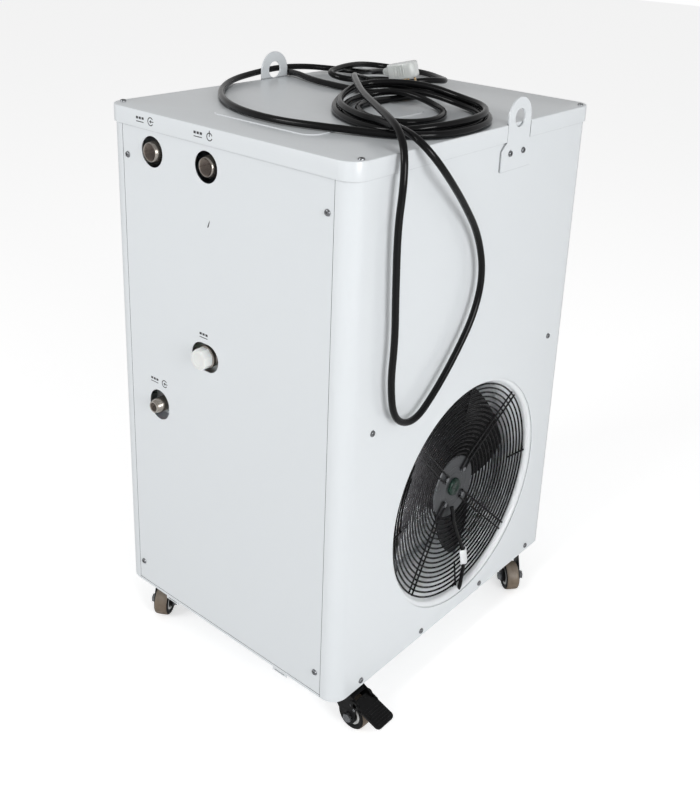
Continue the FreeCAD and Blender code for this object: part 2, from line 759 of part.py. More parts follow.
def make_machinery():
    """The condenser behind the fan, the compressor, the plate exchanger and the electric box."""
    h = duct_half
    y = fan_axis.y
    z = fan_axis.z
    x1 = half_w - condenser_depth
    core = box(x1 - condenser_t, x1 - 2, y - h + 6, y + h - 6, z - h + 6, z + h - 6)
    flange = box(x1 - 2, x1, y - h, y + h, base_z + pan_sheet, z + h)
    shapes["condenser"] = fuse(core, flange)
    foot_z = base_z + pan_sheet
    at = V(compressor_gap - half_w, compressor_y, foot_z)
    shell = rod(at + V(0, 0, 12), Z_AXIS, compressor_d, compressor_h)
    rims = [e for e in shell.Edges if len(e.Vertexes) == 1]
    shell = shell.makeFillet(28, rims)
    feet = rounded_block(at.x, at.y, compressor_d * 0.9, compressor_d * 0.9, 16, foot_z, foot_z + 16)
    shapes["compressor"] = fuse(shell, feet)
    at = V(exchanger_gap - half_w, exchanger_back - half_d, foot_z)
    w = exchanger_w / 2
    t = exchanger_t / 2
    shapes["plate_exchanger"] = box(at.x - w, at.x + w, at.y - t, at.y + t, foot_z, foot_z + exchanger_h)
    z0 = base_z + shelf_z + shelf_sheet
    w = ebox_w / 2
    t = ebox_d / 2
    shapes["electric_box"] = box(ebox_x - w, ebox_x + w, ebox_y - t, ebox_y + t, z0, z0 + ebox_h)


def make_display():
    """The temperature display with three keys under their own bores."""
    z = base_z + display_z
    w = display_w / 2
    h = display_h / 2
    front = half_d + display_reach
    bezel = box(display_x - w, display_x + w, half_d, front, z - h, z + h)
    edges = [e for e in bezel.Edges if abs(e.Vertexes[0].Y - e.Vertexes[-1].Y) > 1]
    bezel = bezel.makeFillet(3, edges)
    body = box(display_x - w + 3.2, display_x + w - 3.2, half_d - 36, half_d, z - h + 3.2, z + h - 3.2)
    housing = fuse(bezel, body)
    names = ("key_down", "key_up", "key_set")
    for i, name in enumerate(names):
        x = display_x + (i - 1) * key_pitch
        seat = V(x, front - 3, z - h + 8)
        housing = housing.cut(rod(seat, Y_AXIS, key_d + 0.2, 4))
        shapes[name] = rod(seat + Y_AXIS, Y_AXIS, key_d, 3)
    shapes["display"] = housing


def make_switch():
    """The rocker switch: a frame with a pocket and a rocker on two stub pins."""
    z = base_z + display_z
    w = switch_w / 2
    h = switch_h / 2
    bezel = box(switch_x - w, switch_x + w, half_d, half_d + 3, z - h, z + h)
    body = box(switch_x - w + 2.2, switch_x + w - 2.2, half_d - 16, half_d, z - h + 2.2, z + h - 2.2)
    pocket_w = w - 5
    pocket_h = h - 4
    pocket = box(switch_x - pocket_w, switch_x + pocket_w, half_d - 13, half_d + 4, z - pocket_h, z + pocket_h)
    pin_y = half_d - 4
    hole = rod(V(switch_x - w + 3, pin_y, z), X_AXIS, 3.1, switch_w - 6)
    shapes["switch_frame"] = fuse(bezel, body).cut([pocket, hole])
    rw = pocket_w - 0.4
    rh = pocket_h - 1.6
    outline = [V(switch_x - rw, pin_y - 4, z - rh * 0.6), V(switch_x - rw, pin_y + 8.5, z - rh),
               V(switch_x - rw, pin_y + 7.2, z), V(switch_x - rw, pin_y + 8.5, z + rh),
               V(switch_x - rw, pin_y - 4, z + rh * 0.6)]
    rocker = slab(outline, V(2 * rw, 0, 0))
    rocker = fuse(rocker, rod(V(switch_x - w + 3.2, pin_y, z), X_AXIS, 3, switch_w - 6.4))
    rocker.rotate(V(switch_x, pin_y, z), X_AXIS, -rocker_tilt)
    shapes["switch_rocker"] = rocker


def placed(solid, x, y, angle):
    """Turns a caster piece about its swivel axis and puts it under its corner."""
    copy = solid.copy()
    copy.rotate(V(0, 0, 0), Z_AXIS, angle)
    copy.translate(V(x, y, 0))
    return copy


def caster_plate():
    """The fixed top plate with its race ring and the king pin that carries the fork."""
    plate = rounded_block(0, 0, plate_w, plate_d, 5, caster_h - plate_t, caster_h)
    race = rod(V(0, 0, caster_h - plate_t - 2), Z_AXIS, 44, 2)
    pin = rod(V(0, 0, caster_h - plate_t - 11), Z_AXIS, 12, 11)
    head = rod(V(0, 0, caster_h - plate_t - 13), Z_AXIS, 20, 3)
    return fuse(plate, race, pin, head)


def fork(braked):
    """The swivelling fork: a round crown, two legs to the axle and ears for the brake pedal."""
    crown_z = caster_h - plate_t - 2 - 0.3 - fork_t
    crown = rod(V(0, 0, crown_z), Z_AXIS, 48, fork_t)
    inside = wheel_w / 2 + fork_gap
    legs = []
    axle_z = wheel_d / 2
    for y in (-inside - fork_t, inside):
        shape = [V(-17, y, crown_z + fork_t), V(20, y, crown_z + fork_t), V(wheel_trail + 10.8, y, axle_z + 2),
                 V(wheel_trail - 10.8, y, axle_z - 2)]
        leg = fuse(slab(shape, V(0, fork_t, 0)), rod(V(wheel_trail, y, axle_z), Y_AXIS, 22, fork_t))
        if braked:
            ear = [V(10, y, crown_z + fork_t), V(22, y, crown_z + fork_t), V(pedal_x + 4, y, pedal_z + 6),
                   V(pedal_x + 4, y, pedal_z - 6), V(wheel_trail, y, axle_z + 8)]
            leg = fuse(leg, slab(ear, V(0, fork_t, 0)), rod(V(pedal_x, y, pedal_z), Y_AXIS, 14, fork_t))
            leg = leg.cut(rod(V(pedal_x, y - 1, pedal_z), Y_AXIS, 5.1, fork_t + 2))
        legs.append(leg)
    solid = fuse(crown, *legs)
    solid = solid.cut(rod(V(0, 0, 0), Z_AXIS, 12.1, caster_h))
    return solid.cut(rod(V(wheel_trail, -40, axle_z), Y_AXIS, axle_d, 80))


def wheel():
    """A moulded wheel with a rounded tread and a hub that runs on the axle."""
    r = wheel_d / 2
    tread = rod(V(wheel_trail, -wheel_w / 2, r), Y_AXIS, wheel_d, wheel_w)
    rims = [e for e in tread.Edges if len(e.Vertexes) == 1]
    tread = tread.makeFillet(3.5, rims)
    hub_w = wheel_w + 2 * fork_gap - 0.6
    hub = rod(V(wheel_trail, -hub_w / 2, r), Y_AXIS, 18, hub_w)
    return fuse(tread, hub).cut(rod(V(wheel_trail, -40, r), Y_AXIS, axle_d + 0.1, 80))


def axle():
    """The axle bolt with its head and nut outside the fork."""
    reach = wheel_w / 2 + fork_gap + fork_t
    at = V(wheel_trail, 0, wheel_d / 2)
    shank = rod(at - Y_AXIS * reach, Y_AXIS, axle_d, 2 * reach)
    head = hexagon(at - Y_AXIS * reach, V(0, -1, 0), 13, 5.5)
    nut = hexagon(at + Y_AXIS * reach, Y_AXIS, 13, 6.5)
    return fuse(shank, head, nut)


def brake_pedal():
    """The brake pedal: two cheeks on stub pins outside the fork and a broad sloping tread."""
    slope = math.radians(pedal_slope)
    along = V(math.cos(slope), 0, -math.sin(slope))
    up = V(math.sin(slope), 0, math.cos(slope))
    pivot = V(pedal_x, 0, pedal_z)
    outside = wheel_w / 2 + fork_gap + fork_t + 0.4
    half = pedal_w / 2
    start = pivot + along * 10
    end = pivot + along * pedal_l
    t = pedal_t / 2
    side = [start + up * t, end + up * t, end - up * t, start - up * t]
    tread = slab([p - Y_AXIS * half for p in side], V(0, 2 * half, 0))
    corners = [e for e in tread.Edges if abs(abs((e.Vertexes[0].Point - e.Vertexes[-1].Point).dot(up)) - 2 * t) < 1e-6
               and (e.Vertexes[0].Point - end).Length < half + 3]
    tread = tread.makeFillet(7, corners)
    parts = [tread]
    for s in (-1, 1):
        y = sorted((s * outside, s * half))
        cheek = rod(V(pivot.x, y[0], pivot.z), Y_AXIS, 13, y[1] - y[0])
        web = [pivot + up * 5, start + along * 6 + up * t, start + along * 6 - up * t, pivot - up * 5]
        web = slab([V(p.x, y[0], p.z) for p in web], V(0, y[1] - y[0], 0))
        pin_y = sorted((s * (outside - 0.4 - fork_t), s * outside))
        pin = rod(V(pivot.x, pin_y[0], pivot.z), Y_AXIS, 5, pin_y[1] - pin_y[0])
        parts += [cheek, web, pin]
    return fuse(parts[0], *parts[1:])


def make_casters():
    """Four swivel casters, each turned as it stands; the two by the port side have brakes."""
    plates = []
    for name, sx, sy, angle, braked in caster_rest:
        x = sx * swivel_x
        y = sy * swivel_y
        plates.append(placed(caster_plate(), x, y, 0))
        shapes["fork_" + name] = placed(fork(braked), x, y, angle)
        shapes["wheel_" + name] = placed(wheel(), x, y, angle)
        shapes["axle_" + name] = placed(axle(), x, y, angle)
        if braked:
            shapes["pedal_" + name] = placed(brake_pedal(), x, y, angle)
    shapes["caster_plates"] = group(plates)


def over_lid(x, y, h):
    """A point at height h over the lid's top."""
    return V(x, y, top_z + h)


def beside(x, y, z):
    """A point at height z over the cabinet's underside."""
    return V(x, y, base_z + z)


def smooth_path(points, closed=False):
    """Straight runs joined by tangent arcs; gives the wire and the smallest arc radius."""
    n = len(points)
    corners = range(n) if closed else range(1, n - 1)
    cut = {}
    radii = []
    for i in corners:
        before = points[i] - points[i - 1]
        after = points[(i + 1) % n] - points[i]
        reach = 0.45 * min(before.Length, after.Length)
        bend = before.getAngle(after)
        r = reach / math.tan(bend / 2)
        radii.append(r)
        start = points[i] - before.normalize() * reach
        end = points[i] + after.normalize() * reach
        inward = (end - points[i] + start - points[i]).normalize()
        gap = r / math.cos(bend / 2) - r
        cut[i] = (start, points[i] + inward * gap, end)
    edges = []
    at = points[0] if not closed else cut[n - 1][2]
    for i in corners:
        start, middle, end = cut[i]
        edges.append(Part.LineSegment(at, start))
        edges.append(Part.Arc(start, middle, end))
        at = end
    if not closed:
        edges.append(Part.LineSegment(at, points[-1]))
    return Part.Wire([e.toShape() for e in edges]), min(radii)


def cord_tube(name, points):
    """A round tube along the route's points."""
    path, r_min = smooth_path(points)
    along = points[1] - points[0]
    section = Part.Wire(Part.makeCircle(cord_d / 2, points[0], along))
    solid = path.makePipeShell([section], True, False)
    share = solid.Volume / (math.pi * cord_d * cord_d / 4 * path.Length)
    print(name, "length", round(path.Length), "smallest radius", round(r_min, 1), "volume share", round(share, 4))
    shapes[name] = solid
    return path.Length


def make_gland():
    """The cord's gland: a six-sided cap and flange outside the intake panel, a nut inside."""
    at = V(-half_w, gland_y, base_z + gland_z)
    out = V(-1, 0, 0)
    flange = rod(at, out, gland_flats, 3)
    cap = hexagon(at + out * 3, out, gland_flats - 3, gland_reach - 6)
    nose = Part.makeCone(gland_flats / 2 - 3, cord_d / 2 + 2, 3, at + out * (gland_reach - 3), out)
    thread = rod(at + X_AXIS * 12, out, gland_thread_d - 0.1, 12)
    nut = hexagon(at + X_AXIS * sheet, X_AXIS, gland_flats, 5)
    body = fuse(flange, cap, nose, thread, nut)
    shapes["cord_gland"] = body.cut(rod(at + X_AXIS * 13, out, cord_d + 0.2, 13 + gland_reach + 1))


def feed_route():
    """From inside the gland up the intake side, over the lid's edge and into the coil."""
    x = -half_w
    return [beside(x, gland_y, gland_z), beside(x - 40, gland_y, gland_z),
            beside(x - 63, gland_y, gland_z + 13), beside(x - 77, gland_y, gland_z + 37),
            beside(x - 80, gland_y - 2, gland_z + 90), beside(x - 68, gland_y - 10, gland_z + 148),
            over_lid(x - 43, 97, -22), over_lid(x - 14, 92, 4), over_lid(x + 22, 83, 8.5),
            over_lid(-165, 67, 5.5), over_lid(-110, 59, 5.5), over_lid(-62, 56, 6),
            over_lid(-10, 51, 10)]


def hang_route():
    """Out of the coil, round the small loop by the plug, over the coil and down the fan side."""
    x = half_w + 16
    return [over_lid(40, 68, 12), over_lid(36, 108, 6.5), over_lid(14, 142, 5.5),
            over_lid(-12, 166, lie_h), over_lid(-46, 182, lie_h), over_lid(-88, 176, lie_h),
            over_lid(-108, 138, 6), over_lid(-120, 100, 9), over_lid(-157, 100, 14),
            over_lid(-172, 144, 16.5), over_lid(-180, 194, 16.5), over_lid(-189, 236, 12),
            over_lid(-174, 272, 7), over_lid(-130, 284, lie_h), over_lid(-82, 280, lie_h),
            over_lid(-34, 250, 7), over_lid(8, 212, 12), over_lid(4, 168, 18), over_lid(-26, 130, 12.5),
            over_lid(-50, 104, 12.5), over_lid(-62, 68, 22), over_lid(-42, 32, 33),
            over_lid(2, -14, 34), over_lid(56, -66, 34), over_lid(118, -116, 34),
            over_lid(178, -161, 32), over_lid(219, -189, 27.5), over_lid(247, -208, 8.5),
            beside(x + 4.5, -217, 772), beside(x, -219, 712), beside(x, -216, 640),
            beside(x, -212, 565), beside(x, -216, 500), beside(x, -203, 444), beside(x, -160, 424),
            beside(x, -114, 454), beside(x, -66, 497), beside(x, -27, 546), beside(x, -12, 604),
            beside(x + 1, -34, 668), beside(x + 11, -94, 732), beside(x + 20, -150, 780),
            over_lid(261, -178, 2), over_lid(230, -178, 21), over_lid(188, -150, 19),
            over_lid(140, -135, 14)]


def lead_route():
    """Out of the coil's near end, round the lifting eye on the intake side and to the plug."""
    entry, out = plug_entry()
    return [over_lid(206, -108, 10), over_lid(182, -148, 7), over_lid(140, -171, 6),
            over_lid(88, -193, 6.7), over_lid(28, -210, 6.7), over_lid(-42, -204, 6.7),
            over_lid(-106, -178, 6.4), over_lid(-163, -137, 5.5), over_lid(-207, -91, 5.5),
            over_lid(-239, -40, 7.5), over_lid(-250, 18, 10), over_lid(-253, 78, 13),
            over_lid(-243, 134, 11), over_lid(-216, 180, 6), over_lid(-168, 196, 5.5),
            over_lid(-122, 170, 14), entry + out * 38, entry]


def make_coil():
    """The loose oval coil on the lid, as the outer shape of its bundle of turns."""
    middle = coil_lift + coil_h / 2
    line = [(170, -134), (208, -100), (222, -44), (212, 14), (178, 60), (128, 82), (66, 74), (12, 52), (-20, 20),
            (4, -44), (50, -98), (112, -128)]
    points = [over_lid(x, y, middle) for x, y in line]
    path, r_min = smooth_path(points, True)
    along = path.Edges[0].tangentAt(path.Edges[0].FirstParameter)
    across = along.cross(Z_AXIS)
    start = path.Edges[0].valueAt(path.Edges[0].FirstParameter)
    w = coil_w / 2 - coil_h / 2
    r = coil_h / 2
    up = Z_AXIS * r
    a = start - across * w
    b = start + across * w
    edges = [Part.LineSegment(a + up, b + up), Part.Arc(b + up, b + across * r, b - up),
             Part.LineSegment(b - up, a - up), Part.Arc(a - up, a - across * r, a + up)]
    section = Part.Wire([e.toShape() for e in edges])
    bundle = path.makePipeShell([section], True, False)
    print("coil turn", round(path.Length), "smallest radius", round(r_min, 1))
    shapes["cord_coil"] = bundle


def plug_axes():
    """The plug's middle, its long axis away from the lead, and the way its blades point."""
    a = math.radians(plug_heading)
    t = math.radians(plug_tilt)
    along = V(math.cos(a) * math.cos(t), math.sin(a) * math.cos(t), math.sin(t))
    down = V(math.cos(a) * math.sin(t), math.sin(a) * math.sin(t), -math.cos(t))
    return over_lid(plug_x, plug_y, plug_h), along, down


def plug_entry():
    """Where the lead enters the plug's angled boot, and the way it leaves again."""
    centre, along, down = plug_axes()
    a = math.radians(boot_heading)
    droop = math.radians(boot_droop)
    out = V(-math.cos(a) * math.cos(droop), -math.sin(a) * math.cos(droop), -math.sin(droop))
    return centre - along * (plug_l / 2 - plug_boot_in) + out * plug_boot_l, out


def make_plug():
    """The plug: a block with rounded sides, a tapered boot and three flat blades."""
    centre, along, down = plug_axes()
    side = along.cross(down)
    low = centre + down * (plug_t / 2)
    l = plug_l / 2
    w = plug_w / 2
    corners = [low - along * l - side * w * 0.55, low + along * l * 0.7 - side * w, low + along * l - side * w * 0.6,
               low + along * l + side * w * 0.6, low + along * l * 0.7 + side * w, low - along * l + side * w * 0.55]
    body = slab(corners, down * -plug_t)
    entry, out = plug_entry()
    boot = Part.makeCone(cord_d / 2 + 1, cord_d / 2 + 4, plug_boot_l, entry, out * -1)
    solid = fuse(body, boot)
    shapes["plug_body"] = solid
    blades = []
    places = ((0.75, 0, 0), (0.1, -8, 30), (0.1, 8, -30))
    for share, shift, twist in places:
        root = low + along * (l * share) + side * shift
        turn = FreeCAD.Rotation(down, twist)
        flat = turn.multVec(side) * (blade_flat / 2)
        wide = turn.multVec(along) * (blade_w / 2)
        if share > 0.5:
            flat = along * (blade_flat / 2)
            wide = side * (blade_w / 2)
        outline = [root - flat - wide, root + flat - wide, root + flat + wide, root - flat + wide]
        blades.append(slab(outline, down * blade_l))
    shapes["plug_blades"] = group(blades)


def make_cord():
    """The mains lead as it lies: three free stretches, the coil, the gland and the plug."""
    make_gland()
    make_plug()
    make_coil()
    cord_tube("cord_feed", feed_route())
    cord_tube("cord_hang", hang_route())
    cord_tube("cord_lead", lead_route())


def make_fan_cable():
    """The fan motor's cable across the guard, and the bare tag tied round it."""
    x = half_w
    y = fan_axis.y
    z = fan_axis.z
    rise = guard_wire + fan_cable_d / 2 + 0.4
    route = [V(x - hub_depth + 4, y - 6, z - 34)]
    for side, down in ((-4, 60), (6, 92), (18, 118), (20, 146), (11, 168)):
        route.append(V(x - cone_depth(math.hypot(side, down)) + rise, y + side, z - down))
    route += [V(x - guard_rim_depth + rise + 1, y + 4, z - 184), V(x - guard_rim_depth + 3, y + 4, z - 193)]
    path, r_min = smooth_path(route)
    section = Part.Wire(Part.makeCircle(fan_cable_d / 2, route[0], route[1] - route[0]))
    shapes["fan_cable"] = path.makePipeShell([section], True, False)
    print("fan cable length", round(path.Length), "smallest radius", round(r_min, 1))
    hole = rod(route[-1], route[-2] - route[-1], fan_cable_d + 0.6, 12)
    shapes["fan_duct"] = shapes["fan_duct"].cut(hole)


def save_all():
    """Moves the origin to the middle of the outline at floor level and writes every sub-part."""
    solid_names = [n for n in shapes if not n.startswith(("cord", "plug"))]
    whole = group([shapes[n] for n in solid_names]).optimalBoundingBox(False, False)
    shift = V(-whole.Center.x, -whole.Center.y, 0)
    os.makedirs("parts", exist_ok=True)
    for name, shape in shapes.items():
        moved = shape.copy()
        moved.translate(shift)
        moved.exportStep("parts/" + name + ".step")
    print("origin shift", round(shift.x, 3), round(shift.y, 3))
    print("size", round(whole.XLength, 1), round(whole.YLength, 1), round(whole.ZLength, 1))


make_side_panels()
make_port_panel()
make_control_panel()
make_base_pan()
make_frame()
make_lid()
make_lifting_eyes()
make_screws()
make_water_pipes()
make_tank_side()
make_duct()
make_guard()
make_stator()
make_hub_fittings()
make_rotor()
make_machinery()
make_display()
make_switch()
make_casters()
make_cord()
make_fan_cable()
save_all()
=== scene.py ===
import math
import bmesh
import bpy
from mathutils import Matrix, Vector


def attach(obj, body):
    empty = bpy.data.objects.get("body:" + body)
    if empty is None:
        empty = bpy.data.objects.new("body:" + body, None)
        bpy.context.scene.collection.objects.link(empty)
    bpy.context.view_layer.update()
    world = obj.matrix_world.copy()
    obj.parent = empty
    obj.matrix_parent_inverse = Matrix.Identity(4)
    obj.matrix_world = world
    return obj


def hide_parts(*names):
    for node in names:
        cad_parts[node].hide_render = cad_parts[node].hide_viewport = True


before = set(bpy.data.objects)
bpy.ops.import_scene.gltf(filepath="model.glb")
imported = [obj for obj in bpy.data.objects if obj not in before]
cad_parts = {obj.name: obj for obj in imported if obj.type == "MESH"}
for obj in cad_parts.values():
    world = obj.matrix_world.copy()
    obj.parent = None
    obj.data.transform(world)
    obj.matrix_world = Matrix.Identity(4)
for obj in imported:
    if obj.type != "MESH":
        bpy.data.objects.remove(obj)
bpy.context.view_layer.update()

# The camera: it stands off the near corner, between the port side and the fan side, above
# the lid, and is turned a little to one side, as the photograph was taken.
look_az = math.radians(-51.19)
look_down = math.radians(20.0)
camera_roll = math.radians(2.58)
camera_at = Vector((0.9934, -1.1835, 1.1839))
ahead = Vector((-math.cos(look_az) * math.cos(look_down), -math.sin(look_az) * math.cos(look_down),
                -math.sin(look_down)))
level_right = ahead.cross(Vector((0, 0, 1))).normalized()
level_up = level_right.cross(ahead)
right = level_right * math.cos(camera_roll) + level_up * math.sin(camera_roll)
up = level_up * math.cos(camera_roll) - level_right * math.sin(camera_roll)
camera_data = bpy.data.cameras.new("camera")
camera_data.lens = 46.135
camera_data.shift_x = -0.0287
camera_data.shift_y = -0.1658
camera = bpy.data.objects.new("camera", camera_data)
camera.matrix_world = Matrix.Translation(camera_at) @ Matrix((right, up, -ahead)).transposed().to_4x4()
bpy.context.scene.collection.objects.link(camera)
bpy.context.scene.camera = camera


# The lead: 10 mm black PVC, moulded on to its plug. It leaves the gland on the intake side,
# lies in four loose turns on the lid, makes a small loop by the plug and hangs down the fan side.
lid_top = 0.885
under = 0.075
middle_y = 0.004346
cord_r = 0.005


def over_lid(x, y, h):
    """A point of the lead at height h over the lid's top."""
    return Vector((x, y + middle_y, lid_top + h))


def beside(x, y, z):
    """A point of the lead at height z over the cabinet's underside."""
    return Vector((x, y + middle_y, under + z))


turn = [(0.012, 0.052), (0.066, 0.074), (0.128, 0.082), (0.178, 0.060), (0.212, 0.014), (0.222, -0.044),
        (0.208, -0.100), (0.170, -0.134), (0.112, -0.128), (0.050, -0.098), (0.004, -0.044), (-0.020, 0.020)]


def coil_point(k, out, h):
    """Place k of the oval turn, moved outwards by out, at height h over the lid."""
    x, y = turn[k % 12]
    along = (Vector(turn[(k + 1) % 12]) - Vector(turn[(k - 1) % 12])).normalized()
    return x - along.y * out, y + along.x * out, h


feed = [(-0.238, 0.112, -0.21), (-0.251, 0.112, -0.21), (-0.2782, 0.112, -0.2032), (-0.3005, 0.112, -0.1831),
        (-0.3128, 0.111, -0.1516), (-0.3144, 0.11, -0.112), (-0.305, 0.103, -0.065), (-0.284, 0.097, -0.026), (-0.254,
        0.092, 0.002), (-0.22, 0.084, 0.0085), (-0.165, 0.067, 0.0055), (-0.11, 0.059, 0.0055), (-0.062, 0.056,
        0.0055), (-0.026, 0.055, 0.006)]
first_turn = [coil_point(*place) for place in (
    (0, 0.0, 0.014), (1, -0.001, 0.019), (2, 0, 0.0075), (3, 0, 0.006), (4, 0, 0.006), (5, 0, 0.006), (6, 0, 0.006),
    (7, 0, 0.006), (8, 0, 0.006), (9, 0.001, 0.0066), (10, -0.003, 0.0068))]
inner_turn = [(-0.005, 0.002, 0.0078), (0.006, 0.034, 0.0135), (0.036, 0.048, 0.018), (0.07, 0.055, 0.013), (0.108,
              0.048, 0.006), (0.144, 0.02, 0.0055), (0.166, -0.03, 0.0055), (0.156, -0.08, 0.006), (0.112, -0.102,
              0.0066), (0.066, -0.082, 0.0068), (0.032, -0.046, 0.0068), (0.024, 0.004, 0.0068), (0.03, 0.052,
              0.0053), (0.034, 0.096, 0.0053), (0.02, 0.134, 0.0053), (-0.008, 0.162, 0.0053)]
hang = [(-0.044, 0.181, 0.0053), (-0.088, 0.176, 0.0053), (-0.109, 0.138, 0.006), (-0.12, 0.099, 0.009), (-0.158,
        0.099, 0.014), (-0.173, 0.144, 0.0165), (-0.181, 0.194, 0.0165), (-0.188, 0.238, 0.012), (-0.17, 0.272,
        0.007), (-0.13, 0.284, 0.0053), (-0.082, 0.28, 0.0053), (-0.034, 0.25, 0.007), (0.008, 0.212, 0.012), (0.004,
        0.168, 0.018), (-0.026, 0.13, 0.0125), (-0.052, 0.106, 0.0125), (-0.064, 0.066, 0.024), (-0.042, 0.03, 0.034),
        (0.002, -0.014, 0.034), (0.056, -0.066, 0.033), (0.118, -0.116, 0.033), (0.178, -0.161, 0.032), (0.219,
        -0.189, 0.0275), (0.247, -0.208, 0.0085), (0.2555, -0.217, -0.035), (0.251, -0.219, -0.092), (0.251, -0.216,
        -0.18), (0.251, -0.212, -0.25), (0.251, -0.217, -0.31), (0.251, -0.205, -0.37), (0.251, -0.158, -0.39),
        (0.251, -0.11, -0.356), (0.251, -0.066, -0.313), (0.251, -0.027, -0.264), (0.251, -0.012, -0.206), (0.252,
        -0.034, -0.142), (0.262, -0.09, -0.084), (0.27, -0.142, -0.037), (0.2655, -0.17, -0.006), (0.244, -0.181,
        0.0165), (0.208, -0.166, 0.02), (0.174, -0.148, 0.0175), (0.144, -0.137, 0.0167)]
last_turns = [coil_point(*place) for place in (
    (8, 0.005, 0.0165), (9, 0.005, 0.0165), (10, 0.006, 0.0165), (11, 0.003, 0.0235), (12, 0.003, 0.0285), (13, 0.003,
    0.029), (14, 0.005, 0.0165), (15, 0.005, 0.0165), (16, 0.005, 0.0165), (17, 0.005, 0.0165), (18, 0.0085, 0.014),
    (19, 0.0115, 0.007), (20, 0.0115, 0.006), (21, 0.012, 0.0066), (22, 0.014, 0.0068), (23, 0.015, 0.017), (24,
    0.012, 0.024), (25, 0.009, 0.018), (26, 0.011, 0.0062), (27, 0.011, 0.006), (28, 0.011, 0.006), (29, 0.013,
    0.006), (30, 0.0225, 0.006))]
tail = [(0.186, -0.153, 0.006), (0.146, -0.169, 0.006), (0.092, -0.192, 0.0066), (0.03, -0.21, 0.0067), (-0.042,
        -0.204, 0.0067), (-0.106, -0.178, 0.0064), (-0.163, -0.137, 0.0053), (-0.207, -0.091, 0.0053), (-0.238, -0.04,
        0.007), (-0.249, 0.018, 0.01), (-0.252, 0.078, 0.013), (-0.243, 0.134, 0.011), (-0.216, 0.178, 0.006),
        (-0.168, 0.194, 0.0053), (-0.122, 0.17, 0.014)]


def plug_axes():
    """The plug's middle, its long axis, its width and the way that its blades point."""
    turned = math.radians(18)
    tilt = math.radians(14)
    along = Vector((math.cos(turned) * math.cos(tilt), math.sin(turned) * math.cos(tilt), math.sin(tilt)))
    down = Vector((math.cos(turned) * math.sin(tilt), math.sin(turned) * math.sin(tilt), -math.cos(tilt)))
    return over_lid(-0.013, 0.117, 0.036), along, along.cross(down), down


def boot_entry():
    """Where the lead enters the plug's boot, and the way it leaves again."""
    centre, along, across, down = plug_axes()
    turned = math.radians(-18)
    droop = math.radians(8)
    out = Vector((-math.cos(turned) * math.cos(droop), -math.sin(turned) * math.cos(droop), -math.sin(droop)))
    return centre - along * 0.016 + out * 0.024, out


entry, boot_out = boot_entry()
lead_points = [over_lid(*at) for at in feed + first_turn + inner_turn + hang + last_turns + tail]
lead_points += [entry + boot_out * 0.038, entry]


def new_group(name, inputs, outputs):
    """An empty group of shader nodes with named inputs and outputs."""
    group = bpy.data.node_groups.new(name, "ShaderNodeTree")
    for side, sockets in (("INPUT", inputs), ("OUTPUT", outputs)):
        for socket, kind in sockets:
            group.interface.new_socket(name=socket, in_out=side, socket_type="NodeSocket" + kind)
    return group, group.nodes.new("NodeGroupInput"), group.nodes.new("NodeGroupOutput")


def node(tree, kind, **settings):
    """A shader node with its settings; a setting in capitals is the value of one of its inputs."""
    made = tree.nodes.new("ShaderNode" + kind)
    for key, value in settings.items():
        if key[0].isupper():
            made.inputs[key.replace("_", " ")].default_value = value
        else:
            setattr(made, key, value)
    return made


def join(tree, *links):
    """Links nodes: each row has a node and its output, then a node and its input."""
    for start, output, end, place in links:
        tree.links.new(start.outputs[output], end.inputs[place])


# The sockets of a Mix node for colours: its share, its two colours and the colour that it gives.
mix_share = 0
mix_first = 6
mix_second = 7
mix_colour = 2


def build_grain():
    """Soft patches of a second tone, a fine grain and an uneven gloss, as a whole finish has."""
    group, given, result = new_group(
        "finish_grain",
        (("Colour", "Color"), ("Second colour", "Color"), ("Patch scale", "Float"), ("Grain scale", "Float"),
         ("Grain height", "Float"), ("Roughness", "Float"), ("Spread", "Float")),
        (("Colour", "Color"), ("Roughness", "Float"), ("Normal", "Vector")))
    where = node(group, "TexCoord")
    patch = node(group, "TexNoise", Detail=4.0)
    grain = node(group, "TexNoise", Detail=3.0)
    mixed = node(group, "Mix", data_type="RGBA")
    bump = node(group, "Bump", Strength=1.0)
    spread = node(group, "MapRange", From_Min=0.3, From_Max=0.7, To_Min=-0.5, To_Max=0.5)
    scaled = node(group, "Math", operation="MULTIPLY_ADD")
    join(group, (where, "Object", patch, "Vector"), (given, "Patch scale", patch, "Scale"),
         (where, "Object", grain, "Vector"), (given, "Grain scale", grain, "Scale"),
         (patch, "Fac", mixed, mix_share), (given, "Colour", mixed, mix_first),
         (given, "Second colour", mixed, mix_second), (mixed, mix_colour, result, "Colour"),
         (grain, "Fac", bump, "Height"), (given, "Grain height", bump, "Distance"),
         (bump, "Normal", result, "Normal"), (patch, "Fac", spread, "Value"), (spread, "Result", scaled, 0),
         (given, "Spread", scaled, 1), (given, "Roughness", scaled, 2), (scaled, "Value", result, "Roughness"))
    return group


def give_mask(group, given, result, *shares):
    """Multiplies the shares and the amount asked for, and gives the mask out."""
    last, output = shares[0]
    for share, name in shares[1:] + ((given, "Amount"),):
        both = node(group, "Math", operation="MULTIPLY")
        join(group, (last, output, both, 0), (share, name, both, 1))
        last, output = both, "Value"
    join(group, (last, output, result, "Mask"))
    return group


